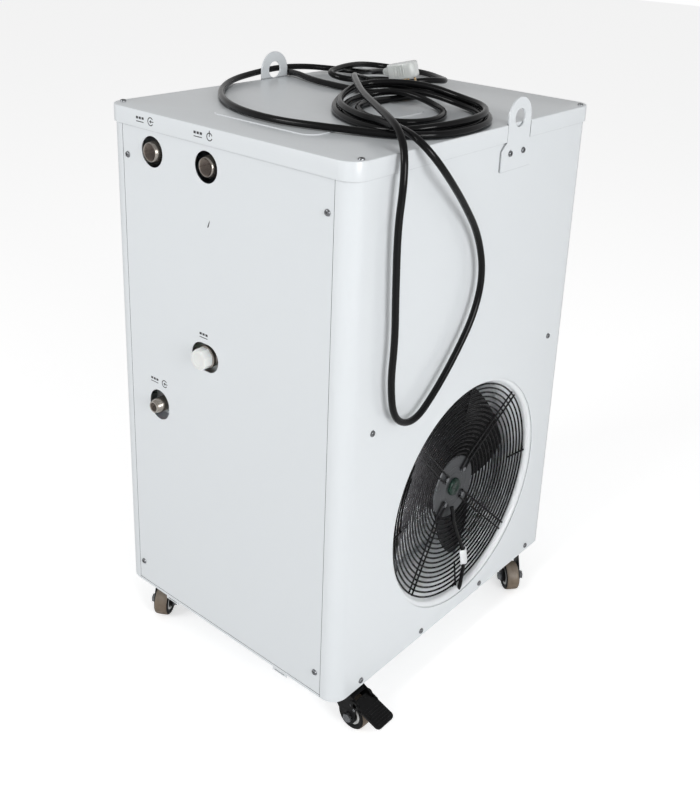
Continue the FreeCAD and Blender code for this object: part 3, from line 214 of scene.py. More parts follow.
def build_wear_and_highlight():
    """A mask of the outer edges, broken up as rubbing and knocks leave them; on some finishes its lighter tone is a
    painted edge highlight.
    """
    group, given, result = new_group("edge_wear_and_highlight_mask", (("Radius", "Float"), ("Amount", "Float")), (("Mask", "Float"),))
    soft = node(group, "Bevel", samples=6)
    apart = node(group, "VectorMath", operation="DOT_PRODUCT")
    edge = node(group, "MapRange", From_Min=0.97, From_Max=0.72)
    spots = node(group, "TexNoise", Scale=140.0, Detail=5.0)
    broken = node(group, "MapRange", From_Min=0.42, From_Max=0.62)
    join(group, (given, "Radius", soft, "Radius"), (soft, "Normal", apart, 0),
         (node(group, "NewGeometry"), "Normal", apart, 1), (apart, "Value", edge, "Value"),
         (node(group, "TexCoord"), "Object", spots, "Vector"), (spots, "Fac", broken, "Value"))
    return give_mask(group, given, result, (edge, "Result"), (broken, "Result"))


def build_dust():
    """A mask of the faces that look up, where workshop dust settles unevenly."""
    group, given, result = new_group("settled_dust", (("Amount", "Float"),), (("Mask", "Float"),))
    parts = node(group, "SeparateXYZ")
    upward = node(group, "MapRange", From_Min=0.2, From_Max=1.0)
    cloud = node(group, "TexNoise", Scale=45.0, Detail=6.0, Roughness=0.7)
    uneven = node(group, "MapRange", From_Min=0.35, From_Max=0.75)
    join(group, (node(group, "NewGeometry"), "Normal", parts, "Vector"), (parts, "Z", upward, "Value"),
         (node(group, "TexCoord"), "Object", cloud, "Vector"), (cloud, "Fac", uneven, "Value"))
    return give_mask(group, given, result, (upward, "Result"), (uneven, "Result"))


def build_painted_seam_shade():
    """A mask of the narrow seams, inner corners and the gap under the lid's lip, from ambient occlusion: painted shade.
    """
    group, given, result = new_group("painted_seam_shade_mask", (("Reach", "Float"), ("Amount", "Float")), (("Mask", "Float"),))
    open_sky = node(group, "AmbientOcclusion", samples=8)
    closed = node(group, "MapRange", From_Min=0.86, From_Max=0.45)
    join(group, (given, "Reach", open_sky, "Distance"), (open_sky, "AO", closed, "Value"))
    return give_mask(group, given, result, (closed, "Result"))


grain_group = build_grain()
wear_and_highlight_group = build_wear_and_highlight()
dust_group = build_dust()
painted_seam_shade_group = build_painted_seam_shade()
dust_tone = (0.42, 0.39, 0.35)
# The tone of the painted shade in seams, inner corners and under the lid's lip.
painted_seam_shade_tone = (0.16, 0.17, 0.18)


def finish_named(name, colour, second, roughness, spread=0.08, patch=14.0, grain=700.0, height=0.00002,
                 edge_wear_and_highlight=None, wear_and_highlight_radius=0.0012, dust=0.0, seam=0.0, **sockets):
    """A finish: two close tones, a grain and a gloss, then rubbed edges (a painted edge highlight on some finishes),
    dust and painted seam shade where asked.
    """
    material = bpy.data.materials.new(name)
    material.use_nodes = True
    tree = material.node_tree
    shader = tree.nodes["Principled BSDF"]
    base = node(tree, "Group", node_tree=grain_group, Colour=(*colour, 1), Second_colour=(*second, 1),
                Patch_scale=patch, Grain_scale=grain, Grain_height=height, Roughness=roughness, Spread=spread)
    tone = (base, "Colour")
    for group, settings, over in ((wear_and_highlight_group, {"Radius": wear_and_highlight_radius, "Amount": 0.7}, edge_wear_and_highlight),
                                  (dust_group, {"Amount": dust}, dust and dust_tone),
                                  (painted_seam_shade_group, {"Reach": 0.004, "Amount": seam}, seam and painted_seam_shade_tone)):
        if over:
            mask = node(tree, "Group", node_tree=group, **settings)
            mixed = node(tree, "Mix", data_type="RGBA")
            mixed.inputs[mix_second].default_value = (*over, 1)
            join(tree, (mask, "Mask", mixed, mix_share), (*tone, mixed, mix_first))
            tone = (mixed, mix_colour)
    join(tree, (*tone, shader, "Base Color"), (base, "Roughness", shader, "Roughness"),
         (base, "Normal", shader, "Normal"))
    for key, value in sockets.items():
        shader.inputs[key.replace("_", " ")].default_value = value
    return material


black_pvc = finish_named("black_pvc", (0.003, 0.003, 0.0033), (0.006, 0.006, 0.0065), 0.19, grain=900.0,
                         height=0.00002, patch=60.0, Specular_IOR_Level=0.20)


def lay_cable(name, points, radius, material):
    """A cable as one smooth curve through its route's points."""
    curve = bpy.data.curves.new(name, "CURVE")
    curve.dimensions = "3D"
    curve.bevel_depth = radius
    curve.bevel_resolution = 6
    curve.resolution_u = 8
    curve.use_fill_caps = True
    spline = curve.splines.new("NURBS")
    spline.points.add(len(points) - 1)
    for point, at in zip(spline.points, points):
        point.co = (*at, 1.0)
    spline.order_u = 3
    spline.use_endpoint_u = True
    curve.materials.append(material)
    cable = bpy.data.objects.new(name, curve)
    bpy.context.scene.collection.objects.link(cable)
    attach(cable, "cabinet")
    return cable


lead = lay_cable("mains_lead", lead_points, cord_r, black_pvc)
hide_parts("cord_feed", "cord_hang", "cord_lead", "cord_coil")


# The plug: a clear moulded body with grip ribs over a white core and three flat brass blades,
# and a tapered ribbed boot that is moulded on the lead's end.
milky = finish_named("milky_plastic", (0.80, 0.82, 0.80), (0.70, 0.73, 0.72), 0.24, patch=90.0, height=0.00001,
                     Transmission_Weight=0.35, IOR=1.49)
brass = finish_named("brass", (0.78, 0.56, 0.30), (0.66, 0.44, 0.22), 0.26, patch=120.0, height=0.00001,
                     edge_wear_and_highlight=(0.92, 0.78, 0.55), Metallic=1.0)


def facing(point, direction):
    """The place of a shape whose own Z axis is turned to a direction."""
    return Matrix.Translation(point) @ Vector(direction).to_track_quat("Z", "Y").to_matrix().to_4x4()


def add_shape(whole, part, place=Matrix.Identity(4)):
    """Puts a finished shape into a piece, at its place."""
    part.transform(place)
    held = bpy.data.meshes.new("held")
    part.to_mesh(held)
    part.free()
    whole.from_mesh(held)
    bpy.data.meshes.remove(held)


def points_in(geometry):
    """The vertices among what an operator gives back."""
    return [v for v in geometry if isinstance(v, bmesh.types.BMVert)]


def face_out(part):
    """Turns all faces of a shape the right way out."""
    bmesh.ops.recalc_face_normals(part, faces=part.faces)


def lift(part, height):
    """Draws all faces of a flat shape up, so that it is a block."""
    lifted = bmesh.ops.extrude_face_region(part, geom=part.faces[:])["geom"]
    bmesh.ops.translate(part, verts=points_in(lifted), vec=(0, 0, height))


def lathe(profile, steps=48):
    """A round shape: a profile of radius and height spun round Z, with its poles closed."""
    part = bmesh.new()
    chain = [part.verts.new((r, 0, h)) for r, h in profile]
    edges = [part.edges.new(pair) for pair in zip(chain, chain[1:])]
    bmesh.ops.spin(part, geom=chain + edges, cent=(0, 0, 0), axis=(0, 0, 1), angle=math.tau, steps=steps,
                   use_merge=True)
    bmesh.ops.remove_doubles(part, verts=part.verts, dist=1e-6)
    face_out(part)
    return part


def trace(part, start, moves, segments=12):
    """Draws a closed outline level in XY: a pair is a straight run, three numbers are a bend's centre and angle."""
    tip = part.verts.new((*start, 0))
    first = tip
    for move in moves:
        if len(move) == 2:
            made = bmesh.ops.extrude_vert_indiv(part, verts=[tip])["verts"]
            bmesh.ops.translate(part, verts=made, vec=(*move, 0))
            tip = made[0]
        else:
            made = bmesh.ops.spin(part, geom=[tip], cent=(move[0], move[1], 0), axis=(0, 0, 1),
                                  angle=math.radians(move[2]), steps=segments)["geom_last"]
            tip = points_in(made)[0]
    bmesh.ops.weld_verts(part, targetmap={tip: first})


def oblong(x, y, w, h):
    """A rectangle's outline: its low left corner, where it starts, and its moves."""
    return (x, y), ((w, 0), (0, h), (-w, 0), (0, -h))


def round_oblong(x, y, half_w, half_h, r):
    """The outline of a rectangle round its middle, with round corners."""
    a = half_w - r
    b = half_h - r
    return (x - a, y - half_h), ((2 * a, 0), (x + a, y - b, 90), (0, 2 * b), (x + a, y + b, 90),
                                 (-2 * a, 0), (x - a, y + b, 90), (0, -2 * b), (x - a, y - b, 90))


def circle(part, x, y, r, segments):
    """Draws a circle level in XY."""
    bmesh.ops.create_circle(part, segments=segments, radius=r, matrix=Matrix.Translation((x, y, 0)))


def round_edges(part, edges, width, segments=2):
    """Rounds some edges of a shape."""
    bmesh.ops.bevel(part, geom=edges, offset=width, segments=segments, profile=0.5, affect="EDGES", material=-1)


def brick(size, at=(0, 0, 0)):
    """A block of three sizes with its middle at a point."""
    part = bmesh.new()
    bmesh.ops.create_cube(part, size=1.0, matrix=Matrix.Translation(at) @ Matrix.Diagonal((*size, 1)))
    return part


def fill_and_lift(part, height, base=0):
    """Closes the outlines drawn so far, holes among them, and lifts them to a block that starts at a base height."""
    bmesh.ops.triangle_fill(part, use_beauty=True, edges=part.edges)
    bmesh.ops.dissolve_limit(part, angle_limit=0.01, verts=part.verts, edges=part.edges)
    if height:
        lift(part, height)
    bmesh.ops.translate(part, verts=part.verts, vec=(0, 0, base))
    face_out(part)
    return part


def make_piece(name, shape, material, stands_for=None, body="cabinet", sharp=35, wall=0.0, edge=0.0):
    """Makes a shape a piece that rides on its body and replaces a solid, with a wall and rounded edges where asked."""
    mesh = bpy.data.meshes.new(name)
    shape.to_mesh(mesh)
    shape.free()
    mesh.polygons.foreach_set("use_smooth", [True] * len(mesh.polygons))
    mesh.set_sharp_from_angle(angle=math.radians(sharp))
    mesh.materials.append(material)
    made = bpy.data.objects.new(name, mesh)
    bpy.context.scene.collection.objects.link(made)
    if wall:
        thick = made.modifiers.new("wall", "SOLIDIFY")
        thick.thickness = wall
        thick.offset = -1
    if edge:
        rounded = made.modifiers.new("edge", "BEVEL")
        rounded.width = edge
        rounded.segments = 2
        rounded.limit_method = "ANGLE"
        rounded.angle_limit = math.radians(sharp)
        rounded.harden_normals = True
    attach(made, body)
    if stands_for:
        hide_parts(stands_for)
    return made


centre, along, across, down = plug_axes()
plug_place = Matrix.Translation(centre) @ Matrix((along, across, down)).transposed().to_4x4()
shape = bmesh.new()
body = bmesh.new()
trace(body, (-0.024, -0.0083), ((0.041, -0.0067), (0.007, 0.006), (0, 0.018), (-0.007, 0.006), (-0.041, -0.0067),
                                (0, -0.0166)))
fill_and_lift(body, 0.026, -0.013)
round_edges(body, body.edges, 0.0035, 4)
add_shape(shape, body)
for side in (-1, 1):
    for step in range(5):
        rib = bmesh.new()
        bmesh.ops.create_cone(rib, cap_ends=True, segments=12, radius1=0.0008, radius2=0.0008, depth=0.018)
        add_shape(shape, rib, Matrix.Translation((-0.012 + step * 0.0045, side * (0.0111 + step * 0.00073), 0)))
shape.transform(plug_place)
boot = [(0, 0), (0.0052, 0), (0.006, 0.001)]
for step in range(5):
    r = 0.0062 + step * 0.00055
    boot += [(r, 0.0022 + step * 0.0034), (r, 0.0040 + step * 0.0034), (r - 0.0008, 0.0043 + step * 0.0034)]
boot += [(0.0088, 0.0195), (0.0086, 0.024), (0, 0.024)]
add_shape(shape, lathe(boot), facing(entry, -boot_out))
plug_body = make_piece("plug_moulding", shape, milky, sharp=50, stands_for="plug_body")

shape = bmesh.new()
for share, shift, twist in ((0.75, 0, 90), (0.1, -0.008, 30), (0.1, 0.008, -30)):
    blade = bmesh.new()
    trace(blade, (-0.0032, -0.001), ((0.0064, 0), (0, 0.0165), (-0.0016, 0.0023), (-0.0032, 0), (-0.0016, -0.0023),
                                     (0, -0.0165)))
    fill_and_lift(blade, 0.0016, -0.0008)
    turn_blade = Matrix.Translation((0.024 * share, shift, 0.0132)) @ Matrix.Rotation(math.radians(twist), 4, "Z")
    add_shape(shape, blade, turn_blade @ Matrix.Rotation(math.radians(90), 4, "X"))
shape.transform(plug_place)
plug_blades = make_piece("plug_flat_blades", shape, brass, edge=0.0003, stands_for="plug_blades")


# The gland: a black moulded cord gland, screwed through the intake panel, and the rubber
# sleeve that its cap squeezes on the lead and that tapers off along it.
black_plastic = finish_named("black_plastic", (0.014, 0.014, 0.015), (0.022, 0.022, 0.023), 0.42, grain=1500.0,
                             height=0.00003, dust=0.25)
gland_at = beside(-0.235, 0.112, 0.6)
outward = Vector((-1, 0, 0))


def hexagon(flats, height, round_over=0.0008):
    """A six-sided block on XY with its far corners turned round, as a nut or bolt head has."""
    part = bmesh.new()
    bmesh.ops.create_circle(part, cap_ends=True, segments=6, radius=flats / math.sqrt(3))
    lift(part, height)
    top = [e for e in part.edges if all(v.co.z > height / 2 for v in e.verts)]
    round_edges(part, top, round_over)
    face_out(part)
    return part


shape = bmesh.new()
add_shape(shape, lathe([(0, 0.0), (0.0132, 0.0), (0.0135, 0.0005), (0.0135, 0.0026), (0.0128, 0.003), (0, 0.003)]),
          facing(gland_at, outward))
add_shape(shape, hexagon(0.024, 0.010, 0.0014), facing(gland_at + outward * 0.003, outward))
add_shape(shape, lathe([(0, 0.0), (0.0098, 0.0), (0.0092, 0.0018), (0.0074, 0.003), (0, 0.003)]),
          facing(gland_at + outward * 0.013, outward))
add_shape(shape, lathe([(0, -0.012), (0.0098, -0.012), (0.0098, 0.0), (0, 0.0)]), facing(gland_at, outward))
add_shape(shape, hexagon(0.027, 0.005), facing(gland_at - outward * 0.0015, -outward))
gland = make_piece("gland_body", shape, black_plastic, sharp=40, stands_for="cord_gland")
sleeve = [(0, 0.0), (0.0082, 0.0), (0.0080, 0.004)]
for step in range(4):
    r = 0.0076 - step * 0.0005
    sleeve += [(r, 0.0052 + step * 0.0042), (r, 0.0076 + step * 0.0042), (r - 0.0006, 0.0080 + step * 0.0042)]
sleeve += [(0.0056, 0.0225), (0, 0.0225)]
sleeve_piece = make_piece("gland_sleeve", lathe(sleeve), black_pvc, sharp=50)
sleeve_piece.data.transform(facing(beside(-0.2502, 0.112, 0.6002), (-0.97, 0, 0.14)))


# The stage: a plain pale floor and soft even light, stronger from the low sides than from
# above, so that the cabinet's top is darker than its sides.
world = bpy.data.worlds.new("studio")
bpy.context.scene.world = world
world.use_nodes = True
tree = world.node_tree


def seen_directly(tree):
    """One for rays from the camera or through glass, and nothing for the rest."""
    rays = node(tree, "LightPath")
    either = node(tree, "Math", operation="MAXIMUM")
    join(tree, (rays, "Is Camera Ray", either, 0), (rays, "Is Transmission Ray", either, 1))
    return either


height = node(tree, "SeparateXYZ")
fade = node(tree, "MapRange", From_Min=-0.1, From_Max=0.80, To_Min=0.66, To_Max=0.40)
strength = node(tree, "Mix")
strength.inputs[3].default_value = 1.0
join(tree, (node(tree, "TexCoord"), "Generated", height, "Vector"), (height, "Z", fade, "Value"),
     (seen_directly(tree), "Value", strength, 0), (fade, "Result", strength, 2),
     (strength, 0, tree.nodes["Background"], "Strength"))
tree.nodes["Background"].inputs["Color"].default_value = (1, 1, 1, 1)

floor_material = bpy.data.materials.new("pale_floor")
floor_material.use_nodes = True
tree = floor_material.node_tree
floor_shader = tree.nodes["Principled BSDF"]
for socket, value in (("Roughness", 0.9), ("Specular IOR Level", 0.0), ("Base Color", (0.82, 0.82, 0.82, 1)),
                      ("Emission Color", (1, 1, 1, 1))):
    floor_shader.inputs[socket].default_value = value
glow = node(tree, "Math", operation="MULTIPLY")
glow.inputs[1].default_value = 0.52
join(tree, (seen_directly(tree), "Value", glow, 0), (glow, "Value", floor_shader, "Emission Strength"))
shape = bmesh.new()
bmesh.ops.create_grid(shape, x_segments=2, y_segments=2, size=12.0)
mesh = bpy.data.meshes.new("floor")
shape.to_mesh(mesh)
shape.free()
mesh.materials.append(floor_material)
floor = bpy.data.objects.new("floor", mesh)
bpy.context.scene.collection.objects.link(floor)

for name, at, aim, size, power in (("lamp_ports", (-1.2, -3.0, 1.9), (0, 0, 0.4), 1.3, 38.0),
                                   ("lamp_fan", (3.1, -0.9, 1.35), (0, 0, 0.4), 1.3, 47.0),
                                   ("lamp_inside", (0.150, -0.110, 0.330), (0.195, 0.200, 0.250), 0.20, 2.4)):
    lamp_data = bpy.data.lights.new(name, "AREA")
    lamp_data.size = size
    lamp_data.energy = power
    lamp = bpy.data.objects.new(name, lamp_data)
    lamp.location = at
    lamp.rotation_euler = (Vector(aim) - Vector(at)).to_track_quat("-Z", "Y").to_euler()
    lamp.visible_camera = False
    lamp.visible_glossy = name != "lamp_inside"
    bpy.context.scene.collection.objects.link(lamp)
bpy.context.scene.view_settings.view_transform = "Standard"


# The side panels: 1.5 mm sheet steel, folded at two round corners and joggled back to a flange
# under each end panel. The fan side has one round opening, the intake side rows of slots.
# Its seam setting darkens seams, inner corners and the gap under the lid's lip: painted shade.
powder_coat = finish_named("powder_coat", (0.770, 0.802, 0.824), (0.760, 0.794, 0.818), 0.30, spread=0.03, patch=3.0,
                           grain=420.0, height=0.000004, dust=0.04, seam=0.95, Coat_Weight=0.25, Coat_Roughness=0.15)
half_w = 0.235
half_d = 0.288
sheet = 0.0015
corner_r = 0.025
seam_x = 0.2055
panel_top = 0.882
fan_at = Vector((half_w, 0.022 + middle_y, 0.292))
fan_hole_r = 0.192
to_side = Matrix(((0, 0, 1), (1, 0, 0), (0, 1, 0))).to_4x4()
to_far_side = (Matrix.Translation((0, middle_y, 0)) @ Matrix.Rotation(math.pi, 4, "Z")
               @ Matrix.Translation((0, -middle_y, 0)))


def pull(part, edges, vec):
    """Draws a row of edges out by a vector and gives the new row."""
    made = bmesh.ops.extrude_edge_only(part, edges=edges)["geom"]
    new = points_in(made)
    bmesh.ops.translate(part, verts=new, vec=vec)
    return [e for e in made if isinstance(e, bmesh.types.BMEdge) and set(e.verts) <= set(new)]


def fold(part, edges, centre, angle, steps=14):
    """Bends a row of upright edges round an upright axis and gives the new row."""
    verts = list({v for e in edges for v in e.verts})
    made = bmesh.ops.spin(part, geom=verts + edges, cent=centre, axis=(0, 0, 1), angle=math.radians(angle),
                          steps=steps)["geom_last"]
    return [e for e in made if isinstance(e, bmesh.types.BMEdge)]


def side_panel(openings):
    """A side panel on the fan side with its openings drawn as outlines, seen from +X."""
    part = bmesh.new()
    flat_d = half_d - corner_r
    trace(part, *oblong(-flat_d, under, 2 * flat_d, panel_top - under))
    openings(part)
    fill_and_lift(part, 0)
    ends = [[e for e in part.edges if all(abs(v.co.x - side * flat_d) < 1e-5 for v in e.verts)] for side in (-1, 1)]
    part.transform(Matrix.Translation((half_w, 0, 0)) @ to_side)
    for side, edge in zip((-1, 1), ends):
        edge = fold(part, edge, (half_w - corner_r, side * flat_d, 0), side * 90)
        edge = pull(part, edge, (seam_x - half_w + corner_r, 0, 0))
        edge = pull(part, edge, (0, -side * sheet, 0))
        pull(part, edge, (-0.022, 0, 0))
    face_out(part)
    widest = max(part.faces, key=lambda f: f.calc_area())
    if widest.normal.x < 0:
        bmesh.ops.reverse_faces(part, faces=part.faces)
    bmesh.ops.translate(part, verts=part.verts, vec=(0, middle_y, 0))
    return part


def fan_opening(part):
    """The one round hole of the fan side."""
    circle(part, 0.022, fan_at.z, fan_hole_r, 128)


def louvre_slots(part):
    """Two columns of slots, and the gland's hole; the panel is turned half round afterwards."""
    slot_rows = 14
    pitch = 0.024
    column = 0.087
    run = 0.071
    r = 0.004
    for row in range(slot_rows):
        for middle in (-column, column):
            z = under + 0.060 + row * pitch
            trace(part, (middle - run, z), ((2 * run, 0), (middle + run, z + r, 180),
                                            (-2 * run, 0), (middle - run, z + r, 180)), 8)
    circle(part, -0.112, 0.675, 0.010, 32)


make_piece("fan_side_panel", side_panel(fan_opening), powder_coat, wall=sheet, edge=0.0003,
           stands_for="panel_fan")
shape = side_panel(louvre_slots)
shape.transform(to_far_side)
make_piece("intake_side_panel", shape, powder_coat, wall=sheet, edge=0.0003, stands_for="panel_intake")


# The end panels: flat sheets that lie on the side panels' flanges with a fine seam, screwed
# at four places. One is cut for the water ports, the other for the display and the switch.
panel_edge = seam_x - 0.0006
port_y = -half_d + middle_y
back_y = half_d + middle_y
port_z = under + 0.7535
inlet_x = -0.140
outlet_x = -0.027
refill_x = -0.0345
refill_z = under + 0.469
drain_x = -0.141
drain_z = under + 0.3535
display_x = -0.095
switch_x = 0.095
control_z = under + 0.690
to_front = Matrix(((1, 0, 0), (0, 0, -1), (0, 1, 0))).to_4x4()


def slot_outline(part, x, z, w, h):
    """A slot with half-round ends, wide or tall."""
    r = min(w, h) / 2
    run_x = w - 2 * r
    run_z = h - 2 * r
    moves = []
    if run_x:
        moves += [(run_x, 0), (x + run_x / 2, z, 180), (-run_x, 0), (x - run_x / 2, z, 180)]
        start = (x - run_x / 2, z - r)
    else:
        moves += [(0, run_z), (x, z + run_z / 2, 180), (0, -run_z), (x, z - run_z / 2, 180)]
        start = (x + r, z - run_z / 2)
    trace(part, start, moves, 20)


def end_panel(openings):
    """A flat end panel with its openings, upright and facing -Y."""
    part = bmesh.new()
    low = under + 0.005
    trace(part, *oblong(-panel_edge, low, 2 * panel_edge, panel_top - low))
    openings(part)
    fill_and_lift(part, 0)
    part.transform(Matrix.Translation((0, port_y, 0)) @ to_front)
    if sum(f.normal.y for f in part.faces) > 0:
        bmesh.ops.reverse_faces(part, faces=part.faces)
    return part


def port_openings(part):
    """Two round port holes, the refill slot and the drain slot."""
    for x in (inlet_x, outlet_x):
        circle(part, x, port_z, 0.0225, 64)
    slot_outline(part, refill_x, refill_z, 0.056, 0.043)
    slot_outline(part, drain_x, drain_z, 0.044, 0.049)


def control_openings(part):
    """The display's window and the switch's hole; the panel is turned half round afterwards."""
    for x, w, h in ((-display_x, 0.072, 0.030), (-switch_x, 0.026, 0.020)):
        trace(part, *oblong(x - w / 2, control_z - h / 2, w, h))


make_piece("ports_panel", end_panel(port_openings), powder_coat, wall=sheet, edge=0.0005,
           stands_for="panel_ports")
shape = end_panel(control_openings)
shape.transform(to_far_side)
make_piece("controls_panel", shape, powder_coat, wall=sheet, edge=0.0005, stands_for="panel_control")


# The lid: one folded and powder-coated sheet with welded round corners, a lip all round, a
# low pressed field under the coil, and a notch at each side where a lifting eye comes through.
lip_z = 0.860
lid_w = half_w + 0.003
lid_d = half_d + 0.003
lid_r = corner_r + 0.003
eye_y_fan = 0.0735
eye_y_intake = 0.052
notch_half = 0.031
notch_in = 0.0032
shape = bmesh.new()
rim = 0.0015
a = lid_w - rim
b = lid_d - rim
r = lid_r - rim
trace(shape, (-a + r, -b), ((2 * (a - r), 0), (a - r, -b + r, 90), (0, eye_y_fan - notch_half + b - r),
                            (rim - notch_in, 0), (0, 2 * notch_half), (notch_in - rim, 0),
                            (0, b - r - eye_y_fan - notch_half), (a - r, b - r, 90), (-2 * (a - r), 0),
                            (-a + r, b - r, 90), (0, eye_y_intake + notch_half - b + r), (notch_in - rim, 0),
                            (0, -2 * notch_half), (rim - notch_in, 0), (0, -b + r - eye_y_intake + notch_half),
                            (-a + r, -b + r, 90)), 14)
outer = list(shape.edges)
trace(shape, *round_oblong(0.008, -0.098, 0.100, 0.129, 0.024))
field_edges = [e for e in shape.edges if e not in set(outer)]
bmesh.ops.triangle_fill(shape, use_beauty=True, edges=shape.edges)
field_face = bmesh.ops.contextual_create(shape, geom=field_edges)["faces"][0]
bmesh.ops.inset_region(shape, faces=[field_face], thickness=0.0010, depth=0.0)
bmesh.ops.translate(shape, verts=field_face.verts, vec=(0, 0, 0.0012))
face_out(shape)
if field_face.normal.z < 0:
    bmesh.ops.reverse_faces(shape, faces=shape.faces)
shape.transform(Matrix.Translation((0, middle_y, lid_top)))
edge = [e for e in shape.edges if e.is_boundary]
for drop, grow in ((0.00015, 0.00065), (0.00055, 0.00055), (0.0008, 0.0003)):
    edge = pull(shape, edge, (0, 0, 0))
    for vert in {v for e in edge for v in e.verts}:
        x = vert.co.x
        y = vert.co.y - middle_y
        if abs(abs(x) - (lid_w - notch_in)) < 1e-4 and abs(y - (eye_y_fan if x > 0 else eye_y_intake)) < 0.032:
            push = Vector((0, 0, 0))
        else:
            flat_x = max(lid_r - lid_w, min(lid_w - lid_r, x))
            flat_y = max(lid_r - lid_d, min(lid_d - lid_r, y))
            push = Vector((x - flat_x, y - flat_y, 0)).normalized()
        vert.co += push * grow + Vector((0, 0, -drop))
edge = pull(shape, edge, (0, 0, lip_z - lid_top + 0.0015))
make_piece("lid_sheet", shape, powder_coat, wall=sheet, edge=0.0002, sharp=50, stands_for="lid")


# The lifting eyes: 3 mm steel plates with a round top and a hole, powder-coated, each screwed
# through its wider foot to a side panel and standing through the lid's notch.
def lifting_eye(side, y, rise):
    """An eye plate on its side of the cabinet."""
    part = bmesh.new()
    top = lid_top + rise
    neck = lip_z - 0.0005
    foot = neck - 0.042
    trace(part, (-0.042, foot), ((0.084, 0), (0, 0.030), (-0.012, 0.012), (0, top - neck), (0, top, 180),
                                 (0, neck - top), (-0.012, -0.012), (0, -0.030)), 32)
    circle(part, 0, top, 0.0135, 48)
    fill_and_lift(part, 0.003)
    part.transform(Matrix.Translation((side * half_w - (0.003 if side < 0 else 0), y + middle_y, 0)) @ to_side)
    return part


for name, side, y, rise in (("fan", 1, eye_y_fan, 0.007), ("intake", -1, eye_y_intake, 0.014)):
    make_piece("eye_plate_" + name, lifting_eye(side, y, rise), powder_coat, edge=0.0005,
               stands_for="lifting_eye_" + name)


# The screws: zinc-plated steel with low round heads and cross slots, a little dusty and rubbed,
# driven into the frame through the panels, the lid and the feet of the lifting eyes.
zinc = finish_named("zinc", (0.15, 0.155, 0.165), (0.34, 0.35, 0.365), 0.28, spread=0.2, patch=220.0, grain=1200.0,
                    height=0.00001, edge_wear_and_highlight=(0.80, 0.81, 0.82), wear_and_highlight_radius=0.0006, dust=0.2, Metallic=1.0)


def screw_head(d=0.009, h=0.0024):
    """A low domed head with a cross slot, its seat on XY."""
    part = bmesh.new()
    flat = d * 0.33
    bmesh.ops.create_circle(part, segments=24, radius=flat, matrix=Matrix.Translation((0, 0, h)))
    rim_edges = list(part.edges)
    arm = d * 0.055
    reach = d * 0.24
    trace(part, (-arm, -reach), ((2 * arm, 0), (0, reach - arm), (reach - arm, 0), (0, 2 * arm), (arm - reach, 0),
                                 (0, reach - arm), (-2 * arm, 0), (0, arm - reach), (arm - reach, 0),
                                 (0, -2 * arm), (reach - arm, 0), (0, arm - reach)))
    cross = [v for v in part.verts if v.co.z < h / 2]
    bmesh.ops.translate(part, verts=cross, vec=(0, 0, h))
    bmesh.ops.triangle_fill(part, use_beauty=True, edges=part.edges)
    floor_faces = [f for f in part.faces if set(f.verts) <= set(cross)]
    bmesh.ops.delete(part, geom=floor_faces, context="FACES_ONLY")
    cross_edges = [e for e in part.edges if set(e.verts) <= set(cross) and e.is_boundary]
    bmesh.ops.triangle_fill(part, use_beauty=True, edges=pull(part, cross_edges, (0, 0, -0.6 * h)))
    edge = rim_edges
    for out, drop in ((d * 0.09, 0.12 * h), (d * 0.055, 0.28 * h), (d * 0.025, 0.6 * h)):
        edge = pull(part, edge, (0, 0, 0))
        for vert in {v for e in edge for v in e.verts}:
            vert.co += Vector((vert.co.x, vert.co.y, 0)).normalized() * out - Vector((0, 0, drop))
    face_out(part)
    return part


def screws(name, places, node_name):
    """A group of screws at their places, each turned a different way."""
    whole = bmesh.new()
    for number, (at, out) in enumerate(places):
        turned = facing(Vector(at) + Vector((0, middle_y, under)), out) @ Matrix.Rotation(number * 1.3, 4, "Z")
        add_shape(whole, screw_head(), turned)
    make_piece(name, whole, zinc, sharp=40, stands_for=node_name)


post_y = half_d - 0.058
end_screw_x = 0.1945
end_screw_z = (0.040, 0.740)
side_screw_z = 0.426
foot_screw_z = 0.011
eye_screw_gap = 0.0345
places = []
for side in (-1, 1):
    places += [((x, side * half_d, z), (0, side, 0)) for x in (-end_screw_x, end_screw_x) for z in end_screw_z]
    places += [((side * half_w, y, side_screw_z), (side, 0, 0)) for y in (-post_y, post_y)]
    places += [((side * half_w, y, foot_screw_z), (side, 0, 0)) for y in (-post_y, -0.082, 0.082, post_y)]
screws("panel_screw_heads", places, "panel_screws")
screws("lid_screw_heads", [((x, y, 0.810), (0, 0, 1)) for x in (-0.228, 0.228) for y in (-0.2675, 0.2675)],
       "lid_screws")
screws("eye_screw_heads", [((side * (half_w + 0.003), y - 0.003 + step * eye_screw_gap, 0.7675), (side, 0, 0))
                           for side, y in ((1, eye_y_fan), (-1, eye_y_intake)) for step in (-0.5, 0.5)],
       "eye_screws")


# The water ports: nickel-plated brass couplings with an inner pipe thread, on steel risers that
# drop to the tank and the pump inside; their mouths stand in the two round holes.
# Its lighter rubbed edges are partly a painted highlight on the couplings' mouth rings.
nickel = finish_named("nickel", (0.34, 0.31, 0.275), (0.46, 0.425, 0.385), 0.22, spread=0.12, patch=60.0,
                      grain=900.0, height=0.000003, edge_wear_and_highlight=(0.80, 0.77, 0.72), Metallic=0.85)
riser_y = 0.0245 - (half_d - sheet) + 0.010 + middle_y
tank_top = under + 0.328 + 0.003 + 0.190


